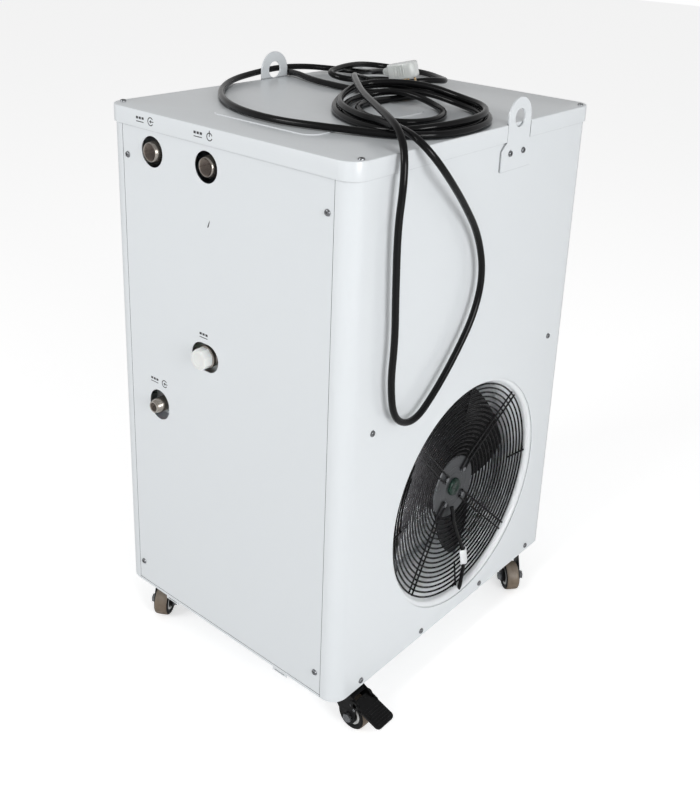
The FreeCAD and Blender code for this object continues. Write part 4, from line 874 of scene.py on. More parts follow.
def threaded_mouth(r, bore_r, depth, reach, chamfer, ridge=0.0008):
    """A coupling's profile: a chamfered mouth, thread ridges down the bore and a plain outside."""
    pitch = 0.0023
    floor_h = depth + 0.012
    profile = [(0, floor_h), (bore_r * 0.78, floor_h), (bore_r * 0.78, depth), (bore_r, depth)]
    for step in range(int(depth / pitch)):
        h = depth - 0.0012 - step * pitch
        profile += [(bore_r, h), (bore_r - ridge, h - 0.0008), (bore_r - ridge, h - 0.0012), (bore_r, h - 0.0019)]
    profile += [(bore_r, 0.0012), (bore_r + chamfer, 0), (r - 2.6 * chamfer, 0), (r - 1.9 * chamfer, 0.0006),
                (r - 1.2 * chamfer, 0.0030), (r, 0.0062), (r, reach), (0, reach)]
    return lathe(profile, 64)


def tube_between(start, end, r, steps=32):
    """A round bar from one point to another."""
    start = Vector(start)
    span = Vector(end) - start
    part = lathe([(0, 0), (r, 0), (r, span.length), (0, span.length)], steps)
    part.transform(facing(start, span))
    return part


def ball(at, r):
    """A round knuckle where two pipes meet."""
    part = bmesh.new()
    bmesh.ops.create_uvsphere(part, u_segments=32, v_segments=16, radius=r)
    part.transform(Matrix.Translation(at))
    return part


# The darker brownish metal inside the mouths is painted shade for the deep bores.
bore_painted_shade = finish_named("bore_painted_shade_metal", (0.20, 0.165, 0.145), (0.30, 0.255, 0.225), 0.20, spread=0.05, patch=40.0,
                         height=0.000002, Metallic=0.9)


def paint_bore_shade(pipe, x, z, r, depth_y):
    """Gives the inside of a pipe's mouth a darker metal: painted shade for the deep bore."""
    pipe.data.materials.append(bore_painted_shade)
    for face in pipe.data.polygons:
        at = face.center
        if at.y < depth_y and math.hypot(at.x - x, at.z - z) < r:
            face.material_index = 1


for name, x, reach, low in (("inlet", inlet_x, 0.005, tank_top), ("outlet", outlet_x, 0.001, tank_top + 0.075)):
    shape = bmesh.new()
    mouth = Vector((x, port_y - reach, port_z))
    add_shape(shape, threaded_mouth(0.0155, 0.0121, 0.020, riser_y - mouth.y, 0.0009), facing(mouth, (0, 1, 0)))
    add_shape(shape, ball((x, riser_y, port_z), 0.0155))
    add_shape(shape, tube_between((x, riser_y, low), (x, riser_y, port_z), 0.011))
    if name == "outlet":
        add_shape(shape, ball((x, riser_y, low), 0.011))
        add_shape(shape, tube_between((x, riser_y, low), (x, -0.184 + middle_y, low), 0.011))
    pipe = make_piece(name + "_coupling", shape, nickel, sharp=40, stands_for=name + "_pipe")
    paint_bore_shade(pipe, x, port_z, 0.01195, mouth.y + 0.034)


# The refill opening: a plated neck on the tank and a white moulded plug with an eight-sided
# grip, which pulls out of the neck towards the front.
white_plastic = finish_named("white_plastic", (0.84, 0.845, 0.83), (0.80, 0.805, 0.79), 0.32, patch=80.0,
                             grain=1400.0, height=0.000015, dust=0.12, Subsurface_Weight=0.08)
seat_y = port_y - 0.014 + 0.015
tank_front = 0.0245 - (half_d - sheet) + middle_y
neck = lathe([(0, tank_front - 0.005 - seat_y), (0.0135, tank_front - 0.005 - seat_y), (0.0135, 0.0008),
              (0.0143, 0), (0.0160, 0), (0.017, 0.001), (0.017, 0.0042), (0.0164, 0.0048), (0.0164, 0.0066),
              (0.017, 0.0072), (0.017, tank_front - seat_y), (0, tank_front - seat_y)])
neck.transform(facing((refill_x, seat_y, refill_z), (0, 1, 0)))
make_piece("refill_coupling", neck, nickel, stands_for="refill_neck")
shape = bmesh.new()
head = bmesh.new()
bmesh.ops.create_circle(head, cap_ends=True, segments=8, radius=0.015 / math.cos(math.radians(22.5)),
                        matrix=Matrix.Rotation(math.radians(22.5), 4, "Z"))
lift(head, 0.015)
face_out(head)
front = [f for f in head.faces if f.normal.z > 0.9]
round_edges(head, front[0].edges, 0.0018, 3)
front = max((f for f in head.faces if f.normal.z > 0.9), key=lambda f: f.calc_area())
bmesh.ops.inset_region(head, faces=[front], thickness=0.0035, depth=0)
bmesh.ops.inset_region(head, faces=[front], thickness=0.0006, depth=-0.0007)
add_shape(shape, head)
add_shape(shape, lathe([(0, -0.012), (0.0127, -0.012), (0.01345, -0.0112), (0.01345, -0.0004), (0, -0.0004)]))
shape.transform(facing((refill_x, seat_y, refill_z), (0, -1, 0)))
make_piece("refill_plug", shape, white_plastic, body="cap", edge=0.0004, stands_for="refill_cap")


# The drain: a plated stub with a chamfered mouth and an inner thread, low in its tall slot.
mouth = Vector((drain_x, port_y - 0.012, drain_z))
stub = threaded_mouth(0.0115, 0.0075, 0.020, tank_front - mouth.y, 0.0016, ridge=0.0006)
stub.transform(facing(mouth, (0, 1, 0)))
stub_piece = make_piece("drain_stub", stub, nickel, sharp=40, stands_for="drain_pipe")
paint_bore_shade(stub_piece, drain_x, drain_z, 0.0075, mouth.y + 0.034)


# Marks on the port side: small printed signs of plain bars, an arrow and a ring in black ink
# over each opening, and one short dark scratch in the coat.
ink = finish_named("printed_ink", (0.012, 0.012, 0.013), (0.05, 0.05, 0.055), 0.5, patch=900.0)
lip_face = port_y - 0.003
print_t = 0.00012


def printed(name, outlines, x, z, y):
    """A flat print of closed outlines on a face towards -Y."""
    whole = bmesh.new()
    for start, moves in outlines:
        part = bmesh.new()
        trace(part, start, moves, 20)
        add_shape(whole, fill_and_lift(part, print_t))
    whole.transform(Matrix.Translation((x, y, z)) @ to_front)
    make_piece(name, whole, ink)


def printed_ring(part_x, r, w, gap=0):
    """The outline of a ring, open by a gap in degrees."""
    turn_angle = 359.9 - gap
    a = math.radians(gap / 2)
    start = (part_x + r * math.cos(a), r * math.sin(a))
    b = math.radians(gap / 2 + turn_angle)
    step_in = (-w * math.cos(b), -w * math.sin(b))
    step_out = (w * math.cos(a), w * math.sin(a))
    return (start, ((part_x, 0, turn_angle), step_in, (part_x, 0, -turn_angle), step_out))


bars = [oblong(-0.019 + i * 0.0062, 0.0, 0.0044, 0.0034) for i in range(3)]
thin_bar = [oblong(-0.019, -0.0042, 0.0165, 0.0011)]
arrow_in = [((0.0190, -0.0006), ((0, 0.0012), (-0.0054, 0), (0, 0.0020), (-0.0036, -0.0026), (0.0036, -0.0026),
                                 (0, 0.0020), (0.0054, 0)))]
for name, x, z, y, mark in (
        ("sign_inlet", -0.150, 0.8725, lip_face, arrow_in + [printed_ring(0.0125, 0.0062, 0.0013, 70)]),
        ("sign_outlet", -0.028, 0.8725, lip_face, [printed_ring(0.0125, 0.0058, 0.0013, 40)] +
         [oblong(0.0119, 0.0, 0.0012, 0.0085)]),
        ("sign_refill", -0.026, refill_z + 0.034, port_y, []),
        ("sign_drain", -0.140, drain_z + 0.040, port_y, arrow_in + [printed_ring(0.0125, 0.0062, 0.0013, 70)])):
    printed(name, bars + thin_bar + mark, x, z, y - 0.00003)
printed("scratch", [((0.0, 0.0), ((0.0024, 0.0016), (0.0020, 0.0058), (0.0008, 0.0046), (-0.0020, -0.0038),
                                  (-0.0023, -0.0050), (-0.0009, -0.0032)))], -0.0255, under + 0.668, port_y)


# The fan duct: a belled throat of white-coated sheet behind the round opening, welded to the
# front of a square box that carries the air from the condenser.
throat_r = 0.184
duct_half = 0.196
duct_coat = finish_named("duct_coat", (0.76, 0.785, 0.80), (0.72, 0.745, 0.765), 0.34, patch=10.0, dust=0.08,
                         height=0.00001)
bell = [(fan_hole_r, -0.0015)]
for step in range(1, 9):
    a = math.radians(step * 90 / 8)
    bell.append((throat_r + (fan_hole_r - throat_r) * (1 - math.sin(a)),
                 -0.0015 - 0.0085 * (1 - math.cos(a))))
bell += [(throat_r, -0.030), (throat_r, -0.060)]
shape = lathe(bell, 128)
if sum(f.normal.dot(f.calc_center_median() * Vector((1, 1, 0))) for f in shape.faces) > 0:
    bmesh.ops.reverse_faces(shape, faces=shape.faces)
box = bmesh.new()
bmesh.ops.create_circle(box, segments=128, radius=throat_r, matrix=Matrix.Translation((0, 0, -0.060)))
square = [box.verts.new((x * duct_half, y * duct_half, -0.060)) for x, y in ((-1, -1), (1, -1), (1, 1), (-1, 1))]
square_edges = [box.edges.new((square[i], square[(i + 1) % 4])) for i in range(4)]
bmesh.ops.triangle_fill(box, use_beauty=True, edges=box.edges)
pull(box, square_edges, (0, 0, -0.062))
face_out(box)
front = [f for f in box.faces if abs(f.normal.z) > 0.9]
if front[0].normal.z < 0:
    bmesh.ops.reverse_faces(box, faces=box.faces)
add_shape(shape, box)
shape.transform(Matrix.Translation(fan_at) @ to_side)
make_piece("fan_shroud", shape, duct_coat, wall=0.0012, stands_for="fan_duct")


# The fan guard: rings of 3 mm wire welded under four pairs of straight spokes, dished inwards
# to the hub, with short struts and lugs at the rim. All of it is dipped in black.
black_wire = finish_named("black_wire", (0.003, 0.003, 0.0034), (0.007, 0.007, 0.0075), 0.28, patch=90.0,
                          grain=1100.0, height=0.00002, edge_wear_and_highlight=(0.012, 0.012, 0.012), wear_and_highlight_radius=0.0006,
                          Specular_IOR_Level=0.14)
wire_r = 0.0015
guard_r = 0.181
hub_r = 0.052
rim_depth = 0.010
hub_depth = 0.028
first_ring = 0.057
rings = 17


def guard_depth(r):
    """How deep the dished guard lies at radius r."""
    share = (guard_r - max(r, hub_r)) / (guard_r - hub_r)
    return rim_depth + share * (hub_depth - rim_depth)


def at_fan(u, r, angle, side=0.0):
    """A point u behind the fan side's face, at a radius and an angle round the fan's axis."""
    a = math.radians(angle)
    return fan_at + Vector((-u, r * math.cos(a) - side * math.sin(a), r * math.sin(a) + side * math.cos(a)))


def wire_ring(r, wire):
    """One round ring of wire on XY."""
    part = bmesh.new()
    bmesh.ops.create_circle(part, segments=10, radius=wire,
                            matrix=Matrix.Translation((r, 0, 0)) @ Matrix.Rotation(math.pi / 2, 4, "X"))
    bmesh.ops.spin(part, geom=part.verts[:] + part.edges[:], cent=(0, 0, 0), axis=(0, 0, 1), angle=math.tau,
                   steps=112, use_merge=True)
    bmesh.ops.remove_doubles(part, verts=part.verts, dist=1e-6)
    face_out(part)
    return part


shape = bmesh.new()
for i in range(rings):
    r = first_ring + i * (guard_r - wire_r - first_ring) / (rings - 1)
    place = Matrix.Translation(at_fan(guard_depth(r) + wire_r - 0.0004, 0, 0)) @ to_side
    add_shape(shape, wire_ring(r, wire_r), place)
for corner in range(4):
    for side in (-0.006, 0.006):
        angle = 45 + 90 * corner
        points = [at_fan(guard_depth(r) - wire_r, r, angle, side) for r in (0.030, hub_r, guard_r)]
        for start, end in zip(points, points[1:]):
            add_shape(shape, tube_between(start, end, wire_r, 10))
        add_shape(shape, ball(points[1], wire_r))
    angle = 90 * corner
    add_shape(shape, tube_between(at_fan(guard_depth(0.139) - wire_r, 0.139, angle),
                                  at_fan(rim_depth - wire_r, guard_r, angle), wire_r, 10))
    lug = brick((0.0065, 0.010, 0.0016))
    round_edges(lug, lug.edges, 0.0005)
    turned = Matrix.Rotation(math.radians(angle), 4, "Z")
    add_shape(shape, lug, Matrix.Translation(fan_at) @ to_side @ turned @ Matrix.Translation((0.1805, 0, -0.0115)))
make_piece("wire_guard", shape, black_wire, sharp=60, stands_for="fan_guard")


# The fan motor's fixed part: a grey cast plate at the hub, with the winding pot and the shaft
# behind it, four zinc bolts through the spoke roots and a round dark cap.
# Its lighter rubbed rim is a painted highlight.
grey_plate = finish_named("grey_plate", (0.055, 0.058, 0.062), (0.10, 0.104, 0.110), 0.34, spread=0.2, patch=70.0,
                          grain=800.0, height=0.00006, edge_wear_and_highlight=(0.60, 0.61, 0.62), dust=0.04, Metallic=0.7)
hub = lathe([(0, 0), (0.0235, 0), (0.0245, -0.0006), (0.0335, -0.0006), (0.0345, 0), (0.0508, 0), (0.052, -0.0009),
             (0.052, -0.003), (0.042, -0.003), (0.042, -0.015), (0.006, -0.015), (0.006, -0.073), (0, -0.073)], 96)
hub.transform(Matrix.Translation(at_fan(hub_depth, 0, 0)) @ to_side)
make_piece("hub_disc", hub, grey_plate, sharp=25, stands_for="fan_stator")
shape = bmesh.new()
for y in (-0.023, 0.023):
    for z in (-0.023, 0.023):
        seat = at_fan(hub_depth, 0, 0) + Vector((0, y, z))
        add_shape(shape, lathe([(0, 0), (0.0052, 0), (0.0052, 0.0008), (0, 0.0008)], 24), facing(seat, (1, 0, 0)))
        add_shape(shape, hexagon(0.0078, 0.004, 0.0006), facing(seat, (1, 0, 0)) @ Matrix.Rotation(y * 20, 4, "Z"))
make_piece("hub_bolts", shape, zinc, sharp=30, stands_for="guard_bolts")
cap_green = finish_named("cap_plastic", (0.003, 0.012, 0.008), (0.006, 0.020, 0.014), 0.26, patch=200.0,
                         Specular_IOR_Level=0.3)
cap = lathe([(0, 0.0044), (0.0060, 0.0046), (0.0066, 0.005), (0.0112, 0.005), (0.0135, 0.0042), (0.0148, 0.0026),
             (0.015, 0.001), (0.015, 0), (0, 0)], 64)
cap.transform(facing(at_fan(hub_depth, 0, 0), (1, 0, 0)))
make_piece("hub_centre_cap", cap, cap_green, stands_for="hub_cap")


# The fan rotor: a round motor can with five broad sickle blades of black-coated sheet, welded to
# it by their roots; it turns on the shaft of the fixed part.
blade_black = finish_named("blade_black", (0.004, 0.004, 0.0045), (0.008, 0.008, 0.0085), 0.36, patch=30.0,
                           grain=700.0, height=0.00001, Specular_IOR_Level=0.15)
front = hub_depth + 0.003 + 0.012 + 0.001
can_back = front + 0.058
u_mid = front + 0.029
shape = lathe([(0.00605, 0), (0.044, 0), (0.0468, 0.0012), (0.048, 0.004), (0.048, 0.018), (0.0472, 0.0185),
               (0.0472, 0.0205), (0.048, 0.021), (0.048, 0.052), (0.0468, 0.0548), (0.044, 0.056), (0.00605, 0.056),
               (0.00605, 0)], 72)
shape.transform(facing(fan_at - Vector((can_back - 0.002, 0, 0)), (1, 0, 0)))
sections = ((0.042, 0.062, 38, 0, 0.005), (0.1115, 0.092, 28, 6, 0.007), (0.175, 0.1255, 20.3, 19, 0.0061))


def blade_values(r):
    """Chord, pitch, lead and camber of a blade at radius r, on a smooth curve through three sections."""
    values = []
    for column in range(1, 5):
        total = 0
        for i, section in enumerate(sections):
            share = section[column]
            for j, other in enumerate(sections):
                if i != j:
                    share *= (r - other[0]) / (section[0] - other[0])
            total += share
        values.append(total)
    return values


blade_count = 5
root_r = 0.042
tip_r = 0.175
tip_share = 0.86
for number in range(blade_count):
    blade = bmesh.new()
    bmesh.ops.create_grid(blade, x_segments=14, y_segments=12, size=0.5)
    for vert in blade.verts:
        share = vert.co.x + 0.5
        r = root_r + share * (tip_r - root_r)
        chord, pitch, lead_angle, camber = blade_values(r)
        across_share = 2 * vert.co.y
        across_share *= 1 - 3 * (max(share - tip_share, 0) / (1 - tip_share) * 0.10) ** 2
        p = math.radians(pitch)
        turned = math.radians(lead_angle)
        radial = Vector((0, math.cos(turned), math.sin(turned)))
        along = Vector((0, -radial.z, radial.y)) * math.cos(p) - Vector((1, 0, 0)) * math.sin(p)
        normal = radial.cross(along)
        bow = camber * (1 - across_share * across_share)
        arc_r = math.sqrt(max(r * r - (across_share * chord / 2 * math.cos(p)) ** 2, 0)) if share > 0.5 else r
        r_used = r + (arc_r - r) * (share - 0.5) * 2 if share > 0.5 else r
        vert.co = fan_at - Vector((u_mid, 0, 0)) + radial * r_used + along * (across_share * chord / 2) + normal * bow
    face_out(blade)
    bmesh.ops.solidify(blade, geom=blade.faces[:], thickness=0.002)
    face_out(blade)
    turned = Matrix.Rotation(math.tau / blade_count * number, 4, "X")
    add_shape(shape, blade, Matrix.Translation(fan_at) @ turned @ Matrix.Translation(-fan_at))
make_piece("fan_wheel", shape, blade_black, body="rotor", sharp=40, stands_for="fan_rotor")


# The fan motor's cable: it leaves the hub plate, lies down over the guard and goes through the
# throat at the bottom, with a bare white tag folded round it.
def over_guard(side, drop, rise=0.0066):
    """A point of the cable that lies on the guard, below the fan's axis and to one side."""
    return fan_at + Vector((rise - guard_depth(math.hypot(side, drop)), side, -drop))


cable_points = [fan_at + Vector((0.004 - hub_depth, -0.006, -0.034)), over_guard(-0.005, 0.046),
                over_guard(-0.004, 0.060), over_guard(0.006, 0.092), over_guard(0.018, 0.118), over_guard(0.020, 0.146),
                over_guard(0.011, 0.168), fan_at + Vector((-rim_depth + 0.0076, 0.004, -0.184)),
                fan_at + Vector((-rim_depth + 0.003, 0.004, -0.193))]
fan_cable = lay_cable("fan_motor_cable", cable_points, 0.00325, black_pvc)
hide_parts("fan_cable")
tag_white = finish_named("tag_white", (0.74, 0.75, 0.76), (0.62, 0.64, 0.66), 0.45, patch=300.0, height=0.00002)
tag = bmesh.new()
bmesh.ops.create_grid(tag, x_segments=16, y_segments=8, size=0.5)
for vert in tag.verts:
    side = vert.co.x * 0.019
    vert.co = Vector((side, vert.co.y * 0.026, 0.0046 * math.exp(-(side / 0.0048) ** 4) - 0.0006 * vert.co.y))
face_out(tag)
tag_at = (over_guard(0.0185, 0.121) + over_guard(0.0195, 0.146)) / 2
tag_along = (over_guard(0.0185, 0.121) - over_guard(0.0195, 0.146)).normalized()
tag_out = Vector((1, 0, 0)) - tag_along * tag_along.x
tag_out.normalize()
tag.transform(Matrix.Translation(tag_at) @ Matrix((tag_along.cross(tag_out), tag_along, tag_out)).transposed().to_4x4())
tag_piece = make_piece("cable_tag", tag, tag_white, wall=0.0003)


# The condenser: thin aluminium fins pressed on rows of copper tubes, in a folded steel frame,
# set square behind the fan's box.
fin_metal = finish_named("aluminium_fins", (0.80, 0.82, 0.84), (0.72, 0.74, 0.76), 0.42, patch=25.0, height=0.00001,
                         dust=0.15, Metallic=0.2)
copper = finish_named("copper_tube", (0.66, 0.34, 0.20), (0.54, 0.26, 0.15), 0.34, patch=60.0, Metallic=1.0)
galvanised = finish_named("galvanised_sheet", (0.46, 0.48, 0.50), (0.58, 0.60, 0.62), 0.40, spread=0.2, patch=40.0,
                          grain=300.0, height=0.00001, dust=0.3, Metallic=0.9)
coil_front = half_w - 0.122
coil_middle = coil_front - 0.023
coil_half = duct_half - 0.006
fin_count = 111
fin_gap = (2 * coil_half - 0.003) / (fin_count - 1)
tube_rows = 14
shape = bmesh.new()
for i in range(fin_count):
    y = -coil_half + 0.0015 + i * fin_gap
    add_shape(shape, brick((0.040, 0.0003, 2 * coil_half - 0.004), (coil_middle, fan_at.y + y, fan_at.z)))
make_piece("condenser_fins", shape, fin_metal)
shape = bmesh.new()
for row in range(tube_rows):
    z = fan_at.z - coil_half + 0.016 + row * (2 * coil_half - 0.032) / (tube_rows - 1)
    for depth in (0.012, 0.034):
        add_shape(shape, tube_between((coil_front - depth, fan_at.y - coil_half - 0.004, z),
                                      (coil_front - depth, fan_at.y + coil_half + 0.004, z), 0.0048, 12))
make_piece("condenser_tubes", shape, copper)
shape = bmesh.new()
low = under + 0.0025
trace(shape, *oblong(fan_at.y - duct_half, low, 2 * duct_half, fan_at.z + duct_half - low))
trace(shape, *oblong(fan_at.y - coil_half, fan_at.z - coil_half, 2 * coil_half, 2 * coil_half))
fill_and_lift(shape, 0.0018)
shape.transform(Matrix.Translation((coil_front - 0.0019, 0, 0)) @ to_side)
for side in (-1, 1):
    add_shape(shape, brick((0.042, 0.0012, 2 * coil_half),
                           (coil_middle, fan_at.y + side * (coil_half - 0.0006), fan_at.z)))
make_piece("condenser_frame", shape, galvanised, stands_for="condenser")


# The casters: a pressed black fork under a ball race and plate, a moulded wheel with a tan
# polyurethane tread on a zinc bolt, and a ridged brake pedal on the two braked ones.
caster_x = 0.198
caster_black = finish_named("caster_black", (0.003, 0.003, 0.0033), (0.007, 0.007, 0.0075), 0.34, spread=0.15,
                            patch=60.0, grain=600.0, height=0.00002, edge_wear_and_highlight=(0.03, 0.03, 0.03), wear_and_highlight_radius=0.0005,
                            Specular_IOR_Level=0.2)
tread_tan = finish_named("tread_tan", (0.215, 0.165, 0.118), (0.120, 0.092, 0.068), 0.50, spread=0.2, patch=110.0,
                         grain=500.0, height=0.00008, edge_wear_and_highlight=(0.07, 0.06, 0.05), wear_and_highlight_radius=0.003, dust=0.45)
hub_ring_white = finish_named("hub_ring_white", (0.80, 0.80, 0.79), (0.70, 0.70, 0.69), 0.35, patch=120.0, dust=0.06)
crown_top = 0.0697
fork_t = 0.0025
leg_in = 0.014
trail = 0.030
axle_z = 0.025
pedal_x = 0.040
pedal_z = 0.054
pedal_slope = 17
to_leg = Matrix(((1, 0, 0), (0, 0, 1), (0, 1, 0))).to_4x4()


def fork_shape(braked):
    """The fork: a round crown over the race, two flat legs with round feet, and rivet heads."""
    whole = lathe([(0.00605, crown_top), (0.0225, crown_top), (0.0237, crown_top - 0.0008), (0.024, crown_top - 0.0025),
                   (0.00605, crown_top - 0.0025), (0.00605, crown_top)], 48)
    for y in (-leg_in - fork_t, leg_in):
        leg = bmesh.new()
        if braked:
            trace(leg, (-0.017, crown_top), ((0.039, 0), (0.0203, -0.0093), (pedal_x, pedal_z, -110),
                                             (-0.0046, -0.0193), (trail, axle_z, -150), (-0.0318, 0.0408),
                                             (-0.0068, 0)), 14)
        else:
            trace(leg, (-0.017, crown_top), ((0.037, 0), (0.0208, -0.0427), (trail, axle_z, -180), (-0.0362, 0.0467),
                                             (0, 0)), 14)
        bmesh.ops.remove_doubles(leg, verts=leg.verts, dist=2e-4)
        circle(leg, trail, axle_z, 0.004, 24)
        fill_and_lift(leg, fork_t)
        leg.transform(Matrix.Translation((0, y, 0)) @ to_leg)
        face_out(leg)
        add_shape(whole, leg)
        out = -1 if y < 0 else 1
        for x, z in ((0.004, 0.062), (0.016, 0.059)):
            rivet = lathe([(0, 0.0012), (0.0012, 0.0011), (0.0022, 0.0006), (0.0026, 0), (0, 0)], 16)
            add_shape(whole, rivet, facing((x, y + (fork_t if out > 0 else 0), z), (0, out, 0)))
    if braked:
        apron = bmesh.new()
        trace(apron, (0.016, 0.0677), ((0.0062, -0.0002), (0.0135, -0.0058), (-0.0012, -0.0024), (-0.0129, 0.0056),
                                       (-0.0056, 0.0003), (0, 0.0025)))
        fill_and_lift(apron, 2 * leg_in + 0.0004)
        add_shape(whole, apron, Matrix.Translation((0, -leg_in - 0.0002, 0)) @ to_leg)
        face_out(whole)
    return whole


def pedal_shape():
    """The brake pedal: a sloping tread with ridges between two cheeks on stub pins."""
    whole = bmesh.new()
    tread = bmesh.new()
    trace(tread, (0.010, -0.019), ((0.035, 0), (0.045, -0.012, 90), (0, 0.024), (0.045, 0.012, 90), (-0.035, 0),
                                   (0, -0.038)))
    fill_and_lift(tread, 0.0036, -0.002)
    add_shape(whole, tread)
    for step in range(7):
        ridge = lathe([(0, -0.0165), (0.0006, -0.0165), (0.0006, 0.0165), (0, 0.0165)], 10)
        add_shape(whole, ridge, facing((0.019 + step * 0.0047, 0, 0.0014), (0, 1, 0)))
    add_shape(whole, brick((0.013, 0.0266, 0.0034), (0.0045, 0, 0)))
    hinged = Matrix.Translation((pedal_x, 0, pedal_z)) @ Matrix.Rotation(math.radians(pedal_slope), 4, "Y")
    whole.transform(hinged)
    for side in (-1, 1):
        cheek = lathe([(0, 0), (0.0061, 0), (0.0065, 0.0004), (0.0065, 0.0017), (0.0061, 0.0021), (0, 0.0021)], 32)
        add_shape(whole, cheek, facing((pedal_x, side * 0.0169, pedal_z), (0, side, 0)))
        web = brick((0.018, 0.0021, 0.0075))
        round_edges(web, web.edges, 0.0005)
        add_shape(whole, web, hinged @ Matrix.Translation((0.008, side * 0.01795, 0)))
        pin = lathe([(0, -0.0029), (0.0025, -0.0029), (0.0025, 0), (0, 0)], 20)
        add_shape(whole, pin, facing((pedal_x, side * 0.0169, pedal_z), (0, side, 0)))
    return whole


tread_profile = [(0.0215, -0.0100), (0.0238, -0.0106), (0.0245, -0.0098), (0.0249, -0.0070), (0.0250, 0.0),
                 (0.0249, 0.0070), (0.0245, 0.0098), (0.0238, 0.0106), (0.0215, 0.0100), (0.0215, -0.0100)]
core_profile = [(0.00405, -0.0137), (0.0088, -0.0137), (0.0090, -0.0134), (0.0092, -0.0108), (0.0112, -0.0100),
                (0.0168, -0.0100), (0.0176, -0.0114), (0.0200, -0.0120), (0.0226, -0.0118), (0.0237, -0.0109),
                (0.0214, -0.0100), (0.0214, 0.0100), (0.0237, 0.0109), (0.0226, 0.0118), (0.0200, 0.0120),
                (0.0176, 0.0114), (0.0168, 0.0100), (0.0112, 0.0100), (0.0092, 0.0108),
                (0.0090, 0.0134), (0.0088, 0.0137), (0.00405, 0.0137), (0.00405, -0.0137)]
plates = bmesh.new()
for name, side_x, side_y, angle, braked in (("near", 1, -1, 0, True), ("left", -1, -1, -60, False),
                                            ("right", 1, 1, -40, False), ("far", -1, 1, 180, True)):
    corner = Matrix.Translation((side_x * caster_x, side_y * post_y + middle_y, 0))
    turned = corner @ Matrix.Rotation(math.radians(angle), 4, "Z")
    hub = turned @ facing((trail, 0, axle_z), (0, 1, 0))
    plate = bmesh.new()
    trace(plate, *round_oblong(0, 0, 0.030, 0.026, 0.005))
    fill_and_lift(plate, 0.003, 0.072)
    add_shape(plates, plate, corner)
    race = lathe([(0, 0.072), (0.0222, 0.072), (0.0220, 0.0712), (0.0206, 0.0702), (0.006, 0.0700), (0.006, 0.062),
                  (0.0100, 0.062), (0.0100, 0.0598), (0.0092, 0.059), (0, 0.059)], 48)
    add_shape(plates, race, corner)
    shape = fork_shape(braked)
    shape.transform(turned)
    make_piece("fork_body_" + name, shape, caster_black, body="caster_" + name, edge=0.0003,
               stands_for="fork_" + name)
    shape = lathe(tread_profile, 72)
    shape.transform(hub)
    make_piece("wheel_tread_" + name, shape, tread_tan, body="roller_" + name, sharp=60,
               stands_for="wheel_" + name)
    shape = lathe(core_profile, 72)
    shape.transform(hub)
    make_piece("wheel_core_" + name, shape, caster_black, body="roller_" + name)
    shape = bmesh.new()
    for side in (-1, 1):
        add_shape(shape, lathe([(0.0118, 0), (0.0160, 0), (0.0160, 0.0005), (0.0156, 0.0008), (0.0122, 0.0008),
                                (0.0118, 0.0005), (0.0118, 0)], 64), facing((0, 0, side * 0.0100), (0, 0, side)))
    shape.transform(hub)
    make_piece("wheel_ring_" + name, shape, hub_ring_white, body="roller_" + name)
    shape = bmesh.new()
    reach = 0.0165
    add_shape(shape, lathe([(0, -reach), (0.004, -reach), (0.004, reach), (0, reach)], 24))
    add_shape(shape, hexagon(0.013, 0.0055, 0.0009), facing((0, 0, -reach), (0, 0, -1)))
    add_shape(shape, hexagon(0.013, 0.0065, 0.0009), facing((0, 0, reach), (0, 0, 1)))
    shape.transform(hub)
    make_piece("wheel_bolt_" + name, shape, zinc, body="caster_" + name, stands_for="axle_" + name)
    if braked:
        shape = bmesh.new()
        for side in (-1, 1):
            for x, z in ((0.0340, 0.0490), (0.0395, 0.0420)):
                head = lathe([(0, 0.0010), (0.0012, 0.0009), (0.0019, 0.0005), (0.0022, 0), (0, 0)], 20)
                add_shape(shape, head, facing((x, side * (leg_in + fork_t), z), (0, side, 0)))
        shape.transform(turned)
        make_piece("fork_rivets_" + name, shape, zinc, body="caster_" + name)
        shape = pedal_shape()
        shape.transform(turned)
        make_piece("brake_pedal_" + name, shape, caster_black, body="brake_" + name, edge=0.0004,
                   stands_for="pedal_" + name)
make_piece("caster_top_plates", plates, zinc, edge=0.0004, stands_for="caster_plates")


# The display: a black moulded bezel with a dark window that is off, and three round keys
# under it, each in its own bore.
dark_glass = finish_named("display_window", (0.006, 0.007, 0.008), (0.010, 0.012, 0.013), 0.10, spread=0.04,
                          patch=40.0, height=0.000002, Coat_Weight=1.0, Coat_Roughness=0.04)
front_y = back_y + 0.004
key_pitch = 0.016
key_drop = 0.010
shape = bmesh.new()
block = bmesh.new()
trace(block, *round_oblong(0, 0, 0.039, 0.018, 0.003), 8)
for key in (-1, 0, 1):
    circle(block, key * key_pitch, -key_drop, 0.0036, 32)
trace(block, *oblong(-0.033, -0.0035, 0.066, 0.0175))
add_shape(shape, fill_and_lift(block, 0.004))
add_shape(shape, brick((0.0716, 0.0296, 0.035), (0, 0, -0.0165)))
add_shape(shape, brick((0.0662, 0.0177, 0.0012), (0, 0.0052, 0.0006)))
to_back = Matrix(((-1, 0, 0), (0, 0, 1), (0, 1, 0))).to_4x4()
shape.transform(Matrix.Translation((display_x, back_y, control_z)) @ to_back)
make_piece("display_bezel", shape, black_plastic, edge=0.0004, stands_for="display")
window = bmesh.new()
trace(window, *oblong(-0.0327, -0.0032, 0.0654, 0.0169))
fill_and_lift(window, 0.0016, 0.0013)
window.transform(Matrix.Translation((display_x, back_y, control_z)) @ to_back)
make_piece("display_glass", window, dark_glass, edge=0.0003)
key_grey = finish_named("key_grey", (0.30, 0.31, 0.32), (0.24, 0.25, 0.26), 0.5, patch=200.0, grain=1500.0,
                        height=0.00002, dust=0.1)
